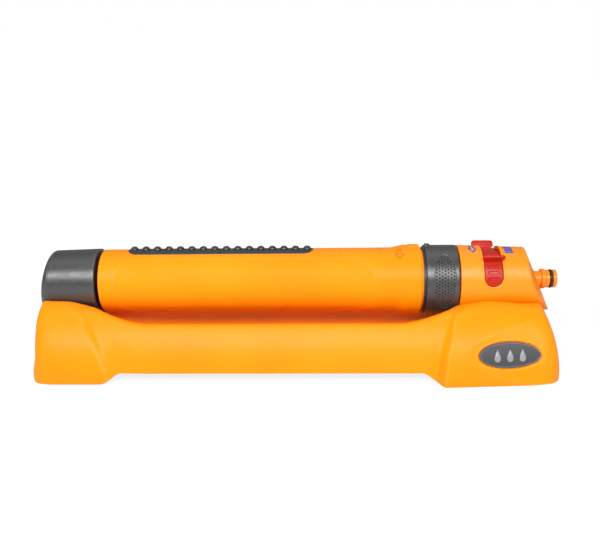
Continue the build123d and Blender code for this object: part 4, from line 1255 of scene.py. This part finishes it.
FLANGE_ANGLE = math.radians(41.8)
FLANGE_EDGE = 0.75
FLANGE_FIT = 0.05
FLANGE_STEP = 0.8
FLANGE_NECKS = {1: 4.0, -1: 2.2}
REAR_SHIFT = math.radians(5.0)
REAR_FLANGE_SHIFT = 1.5
ROUND_ANGLE = SLOT_END - SLOT_HALF / SLOT_RADIUS
TONGUE_START = FLANGE_ANGLE - math.radians(2.0)
TONGUE_ROWS = 64
TONGUE_END_ROWS = 24
TONGUE_COLUMNS = 45
TONGUE_EASE = 0.8
TONGUE_LAP = 0.3
GROOVE_COUNT = 3
GROOVE_FIRST = math.radians(53.5)
GROOVE_STEP = math.radians(10.3)
GROOVE_EDGE = 0.5
GROOVE_REACH = 0.4
SKIRT_RADII = (25.9, 26.8)
SKIRT_HALF = SLOT_HALF + 2.0
SKIRT_ENDS = (FLANGE_ANGLE - math.radians(1.0), ROUND_ANGLE + math.radians(4.0))
LUG_ENDS = (math.radians(45.0), math.radians(55.0))
LUG_LENGTH = 2.5
LUG_DROP = 3.4
BLOCK_ROWS = 13


def past_round(angle):
    """Length beyond the start of a tongue's round end."""
    return max((angle - ROUND_ANGLE) * SLOT_RADIUS, 0.0)


def tongue(sizes, place):
    """Tongue of a slider, with eased edges and grip grooves."""
    groove_half, groove_radius = sizes.groove_length / 2, sizes.groove_width / 2

    def top(x, angle):
        depth = SLOT_HALF - math.hypot(x - SLOT_MIDDLE, past_round(angle))
        reach = housing_radius(x) + sizes.tongue_proud - edge_fall(depth, sizes.tongue_edge) * TONGUE_EASE
        for index in range(GROOVE_COUNT):
            along = (angle - GROOVE_FIRST - index * GROOVE_STEP) * SLOT_RADIUS
            depth = inside(x - SLOT_MIDDLE, along, groove_half, groove_radius, groove_radius)
            reach -= sizes.groove_depth * softened(depth, GROOVE_EDGE, GROOVE_REACH)
        return reach

    angles = spread(TONGUE_START, ROUND_ANGLE, TONGUE_ROWS)
    angles += [ROUND_ANGLE + SLOT_HALF / SLOT_RADIUS * math.sin(turn)
               for turn in spread(0.0, math.pi / 2, TONGUE_END_ROWS)[1:]]
    shares = [math.sin(turn) for turn in spread(-math.pi / 2, math.pi / 2, TONGUE_COLUMNS)]
    rows = []
    for angle in angles:
        half = math.sqrt(max(SLOT_HALF ** 2 - past_round(angle) ** 2, 0.0))
        rows.append([(SLOT_MIDDLE + half * share, angle) for share in shares])
    return shell(rows, SKIRT_RADII[1] - TONGUE_LAP, top, place)


def curved_block(x_from, x_to, inner, outer, start, end, place):
    """Part of a tube between two angles."""
    rows = [[(x, angle) for x in (x_from, x_to)] for angle in spread(start, end, BLOCK_ROWS)]
    return shell(rows, inner, lambda x, angle: outer, place)


def flange(sizes, side, angle):
    """Upright flange of a slider, wider above its neck."""
    wide, top = sizes.flange_width / 2, sizes.flange_radius
    foot, root = SLOT_HALF - FLANGE_FIT, SKIRT_RADII[1]
    step, neck = SLOT_RADIUS + FLANGE_STEP, SLOT_RADIUS + FLANGE_NECKS[side]
    right = [(foot, step, 0.6), (wide, neck, 0.8), (wide, top, 2.6)]
    left = [(-x, reach, radius) for x, reach, radius in reversed(right)]
    outline = rounded([(-foot, root, 0.0), (foot, root, 0.0), *right, *left])
    middle = SLOT_MIDDLE if side > 0 else SLOT_MIDDLE - REAR_FLANGE_SHIFT

    def upright(across, reach, level):
        x, y, z = around(middle + across, reach, angle)
        return x, y - level * math.cos(angle), z - level * math.sin(angle)

    return plate(outline, sizes.flange_thickness, FLANGE_EDGE, upright)


def slider(name, node, body, sizes, side):
    """Red limit slider: tongue with grip grooves, upright flange, and the skirt and lug inside."""
    def turn_of(angle):
        return angle if side > 0 else REAR_SHIFT - angle

    def place(x, angle, reach):
        return around(x, reach, turn_of(angle))

    low, _ = corners(node)
    inner, outer = SKIRT_RADII
    skirt_left, skirt_right = SLOT_MIDDLE - SKIRT_HALF, SLOT_MIDDLE + SKIRT_HALF
    skirt = curved_block(skirt_left, skirt_right, inner, outer, *SKIRT_ENDS, place)
    finger = curved_block(low.x, SLOT_MIDDLE - SLOT_HALF, inner, outer, *LUG_ENDS, place)
    lug = curved_block(low.x, low.x + LUG_LENGTH, inner - LUG_DROP, outer, *LUG_ENDS, place)
    parts = (tongue(sizes, place), skirt, finger, lug, flange(sizes, side, turn_of(FLANGE_ANGLE)))
    built(name, joined(*parts), "red", body, [node])


# Kept nodes

def dress_nodes():
    """Gives each CAD node that still shows the finish of its slot."""
    for part in frame["record"]["subparts"]:
        name = part["material_slot"]
        if name == "yellow":
            name = "yellow_deep" if part["node"] == "hose_connector" else "yellow_gloss"
        node = frame["nodes"][part["node"]]
        node.data.materials.clear()
        node.data.materials.append(finish_of(name))


# Stage

FLOOR_GRAIN = 30.0
FLOOR_SHADES = (0.18, 0.19)
FLOOR_BOUNCE = (0.74, 0.76)
FLOOR_FADE = (0.3, 0.9)
SENSOR_WIDTH = 36.0
NEAREST_SEEN = 0.01
FRONT_LAMP = dict(place=(-0.04, -0.885, 0.72), aim=(0.0, 0.0, 0.06), width=1.5, height=0.36)
TOP_LAMP = dict(place=(-0.10, 0.10, 1.1), aim=(0.0, 0.0, 0.05), width=1.4, height=0.9)


def floor_shade(tree, place, levels):
    """Matte grey that drifts between two levels."""
    low, high = [(level, level, level, 1.0) for level in levels]
    colour = blended(tree, noise(tree, place, FLOOR_GRAIN), low, high)
    return tree.add("ShaderNodeBsdfDiffuse", {"Color": colour}).outputs[0]


def add_floor(settings):
    """Pale floor that stays near white and still takes the object's shadow."""
    size = settings.floor_size
    mesh = bpy.data.meshes.new("floor")
    border = [(-size, -size, 0), (size, -size, 0), (size, size, 0), (-size, size, 0)]
    mesh.from_pydata(border, [], [(0, 1, 2, 3)])
    floor = bpy.data.objects.new("floor", mesh)
    bpy.context.collection.objects.link(floor)
    material = bpy.data.materials.new("pale_floor")
    tree = cleared(material)
    place = tree.add("ShaderNodeTexCoord").outputs["Object"]
    distance = tree.add("ShaderNodeVectorMath", {0: place}, operation="LENGTH").outputs["Value"]
    strength = ranged(tree, distance, settings.floor_glow, 1.0, *FLOOR_FADE)
    glow = tree.add("ShaderNodeEmission", {"Strength": strength})
    seen = tree.add("ShaderNodeAddShader", {0: floor_shade(tree, place, FLOOR_SHADES), 1: glow.outputs[0]})
    unseen = floor_shade(tree, place, FLOOR_BOUNCE)
    rays = tree.add("ShaderNodeLightPath").outputs["Is Camera Ray"]
    either = tree.add("ShaderNodeMixShader", {0: rays, 1: unseen, 2: seen.outputs[0]})
    tree.add("ShaderNodeOutputMaterial", {"Surface": either.outputs[0]})
    mesh.materials.append(material)


def add_world(settings):
    """White surroundings for the camera, and a softer even light for the object."""
    world = bpy.data.worlds.new("studio")
    bpy.context.scene.world = world
    tree = cleared(world)
    rays = tree.add("ShaderNodeLightPath").outputs["Is Camera Ray"]
    even = tree.add("ShaderNodeBackground", {"Color": (1, 1, 1, 1), "Strength": settings.fill_strength})
    white = tree.add("ShaderNodeBackground", {"Color": (1, 1, 1, 1), "Strength": 1.0})
    either = tree.add("ShaderNodeMixShader", {0: rays, 1: even.outputs[0], 2: white.outputs[0]})
    tree.add("ShaderNodeOutputWorld", {"Surface": either.outputs[0]})


def add_softbox(name, power, place, aim, width, height):
    """Wide soft lamp at a place, turned to a point."""
    lamp = bpy.data.lights.new(name, "AREA")
    lamp.shape = "RECTANGLE"
    lamp.size = width
    lamp.size_y = height
    lamp.energy = power
    softbox = bpy.data.objects.new(name, lamp)
    softbox.location = place
    softbox.rotation_euler = (Vector(aim) - Vector(place)).to_track_quat("-Z", "Y").to_euler()
    bpy.context.collection.objects.link(softbox)


def add_camera(settings):
    """Camera at the photograph's place and angle."""
    aim = Vector(settings.camera_aim)
    turn = math.radians(settings.camera_azimuth)
    lift = math.radians(settings.camera_elevation)
    back = Vector((math.sin(turn) * math.cos(lift), -math.cos(turn) * math.cos(lift), math.sin(lift)))
    roll = Matrix.Rotation(math.radians(-settings.camera_roll), 4, back)
    view = roll @ back.to_track_quat("Z", "Y").to_matrix().to_4x4()
    view.translation = aim + back * settings.camera_distance
    lens = bpy.data.cameras.new("camera")
    lens.lens = settings.camera_lens
    lens.sensor_width = SENSOR_WIDTH
    lens.shift_y = settings.camera_shift
    lens.clip_start = NEAREST_SEEN
    camera = bpy.data.objects.new("camera", lens)
    camera.matrix_world = view
    bpy.context.collection.objects.link(camera)
    bpy.context.scene.camera = camera


def set_stage(settings):
    """Floor, surroundings, lamps and camera."""
    bpy.context.scene.view_settings.view_transform = "Standard"
    add_floor(settings)
    add_world(settings)
    add_softbox("front_softbox", settings.front_power, **FRONT_LAMP)
    add_softbox("top_softbox", settings.top_power, **TOP_LAMP)
    add_camera(settings)


# Settings

def length(name, description, size):
    """Setting for a length, given in millimetres."""
    return FloatProperty(name=name, description=description, default=size * MM, unit="LENGTH")


def number(name, description, value):
    """Setting for a plain number."""
    return FloatProperty(name=name, description=description, default=value)


def opaque(name, description, red, green, blue):
    """Setting for an opaque colour."""
    return FloatVectorProperty(name=name, description=description, default=(red, green, blue, 1.0),
                               subtype="COLOR", size=4)


class SprinklerColours(bpy.types.PropertyGroup):
    """Colours of the finishes."""
    yellow: opaque("Yellow", "Warm yellow of the mouldings", 0.97, 0.265, 0.0)
    # The deeper yellow is also used as painted shade on the collar arrow's outline.
    yellow_deep: opaque("Deep yellow", "Deeper yellow of the hose connector", 0.9, 0.225, 0.0)
    yellow_worn: opaque("Worn yellow", "Yellow rubbed pale on edges", 0.95, 0.38, 0.05)
    grey: opaque("Grey", "Dark grey of the cap and the ring", 0.031, 0.030, 0.032)
    grey_worn: opaque("Worn grey", "Grey rubbed pale on edges", 0.11, 0.11, 0.115)
    # This black also colours the selector ring's low rim, partly as painted shade in the gap beside the
    # collar.
    black: opaque("Black", "Black of the inner cases", 0.02, 0.02, 0.022)
    strip: opaque("Strip", "Soft grey of the nozzle strips", 0.031, 0.031, 0.033)
    red: opaque("Red", "Red of the sliders and their track", 0.45, 0.010, 0.001)
    red_worn: opaque("Worn red", "Red rubbed pale on edges", 0.60, 0.05, 0.02)
    seal: opaque("Seal", "Black rubber of the seals", 0.012, 0.012, 0.012)
    steel: opaque("Steel", "Steel of the screws and axles", 0.62, 0.62, 0.64)
    white: opaque("White", "Natural white of the drive's pieces", 0.78, 0.77, 0.72)
    badge: opaque("Badge", "Grey field of the badge", 0.058, 0.058, 0.061)
    badge_rim: opaque("Badge rim", "Paler rim of the badge", 0.075, 0.09, 0.12)
    badge_motif: opaque("Badge motif", "Pale grey of the badge's raised drops", 0.27, 0.27, 0.28)
    print_blue: opaque("Print", "Blue of the printed marks", 0.0, 0.075, 0.42)


class SprinklerBase(bpy.types.PropertyGroup):
    """Sizes of the base."""
    wall: length("Wall", "Thickness of the base's skin", 2.6)
    crest_width: length("Crest width", "Width of the rails' top edge", 6.5)
    corner_power: number("Corner power", "How square the feet's corners are", 8.5)


class SprinklerBarrel(bpy.types.PropertyGroup):
    """Sizes of the end cap, the barrel and its collar."""
    cap_wall: length("Cap wall", "Thickness of the end cap", 2.4)
    cap_corner: length("Cap corner", "Rounding of the end cap's closed end", 5.0)
    panel_depth: length("Panel depth", "How deep the matte panels are sunk", 0.35)
    panel_inset: length("Panel inset", "From the barrel's ends to the panels", 14.6)
    panel_corner: length("Panel corner", "Rounding of the panels' corners", 20.0)
    arrow_inset: length("Arrow inset", "From the collar's right end to the raised arrow", 18.0)


class SprinklerStrips(bpy.types.PropertyGroup):
    """Sizes of the nozzle strips."""
    strip_proud: length("Proud", "How far the strips stand out of the barrel", 0.1)
    strip_edge: length("Edge", "Rounding of the strips' edges", 0.7)
    nozzle_radius: length("Nozzle radius", "Radius of a nozzle's dome", 3.5)
    nozzle_bore: length("Nozzle bore", "Radius of a nozzle's hole", 0.7)


class SprinklerRing(bpy.types.PropertyGroup):
    """Sizes of the selector ring's grip."""
    grip_half_width: length("Grip half width", "Half the oval grip's width", 9.4)
    grip_half_height: length("Grip half height", "Half the oval grip's length round the ring", 26.5)
    grip_inset: length("Grip inset", "From the ring's right end to the grip's middle", 12.55)
    dimple_pitch: length("Dimple pitch", "From one dimple to the next", 2.9)
    dimple_radius: length("Dimple radius", "Radius of a dimple's rim", 0.78)
    dimple_depth: length("Dimple depth", "Depth of a dimple", 1.0)


class SprinklerHousing(bpy.types.PropertyGroup):
    """Sizes of the housing's trims."""
    lip_width: length("Lip width", "Width of the lip round the slot", 1.5)
    lip_height: length("Lip height", "Height of the lip round the slot", 0.5)
    print_inset: length("Print inset", "From the slot's middle to the printed marks", 15.5)


class SprinklerSliders(bpy.types.PropertyGroup):
    """Sizes of the limit sliders."""
    tongue_proud: length("Tongue", "How far the tongue stands out of the housing", 0.6)
    tongue_edge: length("Tongue edge", "Rounding of the tongue's edge", 1.1)
    groove_length: length("Groove length", "Length of a grip groove", 9.4)
    groove_width: length("Groove width", "Width of a grip groove", 2.6)
    groove_depth: length("Groove depth", "Depth of a grip groove", 0.9)
    flange_width: length("Flange width", "Width of the upright flange", 19.2)
    flange_radius: length("Flange top", "From the axis to the flange's top edge", 36.8)
    flange_thickness: length("Flange thickness", "Thickness of the flange", 2.2)


class SprinklerStage(bpy.types.PropertyGroup):
    """Camera, lamps and floor."""
    camera_aim: FloatVectorProperty(name="Camera aim", description="Point that the camera looks at",
                                    subtype="TRANSLATION", unit="LENGTH", default=(0.00235, 0.0, 0.0715))
    camera_azimuth: number("Azimuth", "Camera's turn to the right, in degrees", 1.5)
    camera_elevation: number("Elevation", "Camera's height, in degrees", 16.7)
    camera_roll: number("Roll", "Camera's roll, in degrees", 0.69)
    camera_distance: length("Distance", "Camera's distance from its aim", 663.05)
    camera_lens: number("Lens", "Focal length, in millimetres", 44.7)
    camera_shift: number("Shift", "Vertical shift of the frame", 0.006)
    front_power: number("Front lamp", "Power of the front softbox, in watts", 17.0)
    top_power: number("Top lamp", "Power of the top softbox, in watts", 3.0)
    fill_strength: number("Fill", "Strength of the even light", 0.30)
    floor_size: length("Floor", "Half the floor's side", 6000.0)
    floor_glow: number("Floor glow", "Light that keeps the floor near white", 0.84)


def measures(settings):
    """Values of a group of settings, its lengths in millimetres."""
    values = {}
    for name in type(settings).__annotations__:
        unit = MM if settings.bl_rna.properties[name].unit == "LENGTH" else 1.0
        values[name] = getattr(settings, name) / unit
    return SimpleNamespace(**values)


# Operators

class SPRINKLER_OT_nodes(bpy.types.Operator):
    """Give the kept CAD pieces their finishes"""
    bl_idname = "sprinkler.nodes"
    bl_label = "Kept pieces"

    def execute(self, context):
        dress_nodes()
        return {"FINISHED"}


class SPRINKLER_OT_base(bpy.types.Operator):
    """Build the yellow base and its badge"""
    bl_idname = "sprinkler.base"
    bl_label = "Base and badge"

    def execute(self, context):
        sizes = measures(context.scene.sprinkler_base)
        base_moulding(sizes)
        badge_pieces(sizes)
        return {"FINISHED"}


class SPRINKLER_OT_barrel(bpy.types.Operator):
    """Build the end cap, the barrel and its collar"""
    bl_idname = "sprinkler.barrel"
    bl_label = "Cap, barrel and collar"

    def execute(self, context):
        sizes = measures(context.scene.sprinkler_barrel)
        cap_shell(sizes)
        barrel_tube(sizes)
        barrel_collar(sizes)
        return {"FINISHED"}


class SPRINKLER_OT_strips(bpy.types.Operator):
    """Build the nozzle strips"""
    bl_idname = "sprinkler.strips"
    bl_label = "Nozzle strips"

    def execute(self, context):
        strips(measures(context.scene.sprinkler_strips))
        return {"FINISHED"}


class SPRINKLER_OT_ring(bpy.types.Operator):
    """Build the selector ring and its grip"""
    bl_idname = "sprinkler.ring"
    bl_label = "Selector ring"

    def execute(self, context):
        selector_ring(measures(context.scene.sprinkler_ring))
        return {"FINISHED"}


class SPRINKLER_OT_housing(bpy.types.Operator):
    """Build the lip round the housing's slot and its printed marks"""
    bl_idname = "sprinkler.housing"
    bl_label = "Housing trims"

    def execute(self, context):
        sizes = measures(context.scene.sprinkler_housing)
        slot_lip(sizes)
        printed_marks(sizes)
        return {"FINISHED"}


class SPRINKLER_OT_sliders(bpy.types.Operator):
    """Build the two limit sliders"""
    bl_idname = "sprinkler.sliders"
    bl_label = "Limit sliders"

    def execute(self, context):
        sizes = measures(context.scene.sprinkler_sliders)
        slider("front_limit_slider", "front_slider", "front_limit", sizes, 1)
        slider("rear_limit_slider", "rear_slider", "rear_limit", sizes, -1)
        return {"FINISHED"}


class SPRINKLER_OT_stage(bpy.types.Operator):
    """Set the floor, lamps and camera"""
    bl_idname = "sprinkler.stage"
    bl_label = "Stage"

    def execute(self, context):
        set_stage(context.scene.sprinkler_stage)
        return {"FINISHED"}


OPERATORS = (SPRINKLER_OT_nodes, SPRINKLER_OT_base, SPRINKLER_OT_barrel, SPRINKLER_OT_strips,
             SPRINKLER_OT_ring, SPRINKLER_OT_housing, SPRINKLER_OT_sliders, SPRINKLER_OT_stage)


class SPRINKLER_PT_panel(bpy.types.Panel):
    """Lists the sprinkler's pieces"""
    bl_label = "Sprinkler"
    bl_space_type = "VIEW_3D"
    bl_region_type = "UI"
    bl_category = "Sprinkler"

    def draw(self, context):
        for operator in OPERATORS:
            self.layout.operator(operator.bl_idname)


GROUPS = {"sprinkler_colours": SprinklerColours, "sprinkler_base": SprinklerBase,
          "sprinkler_barrel": SprinklerBarrel, "sprinkler_strips": SprinklerStrips,
          "sprinkler_ring": SprinklerRing, "sprinkler_housing": SprinklerHousing,
          "sprinkler_sliders": SprinklerSliders, "sprinkler_stage": SprinklerStage}


def register():
    """Adds the settings, operators and panel."""
    for name, group in GROUPS.items():
        bpy.utils.register_class(group)
        setattr(bpy.types.Scene, name, PointerProperty(type=group))
    for kind in (*OPERATORS, SPRINKLER_PT_panel):
        bpy.utils.register_class(kind)


def unregister():
    """Takes them away again."""
    for kind in (SPRINKLER_PT_panel, *reversed(OPERATORS)):
        bpy.utils.unregister_class(kind)
    for name, group in reversed(GROUPS.items()):
        delattr(bpy.types.Scene, name)
        bpy.utils.unregister_class(group)


def main():
    """Builds each piece with its operator."""
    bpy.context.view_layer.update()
    register()
    for operator in OPERATORS:
        group, name = operator.bl_idname.split(".")
        getattr(getattr(bpy.ops, group), name)()


if __name__ == "__main__":
    main()
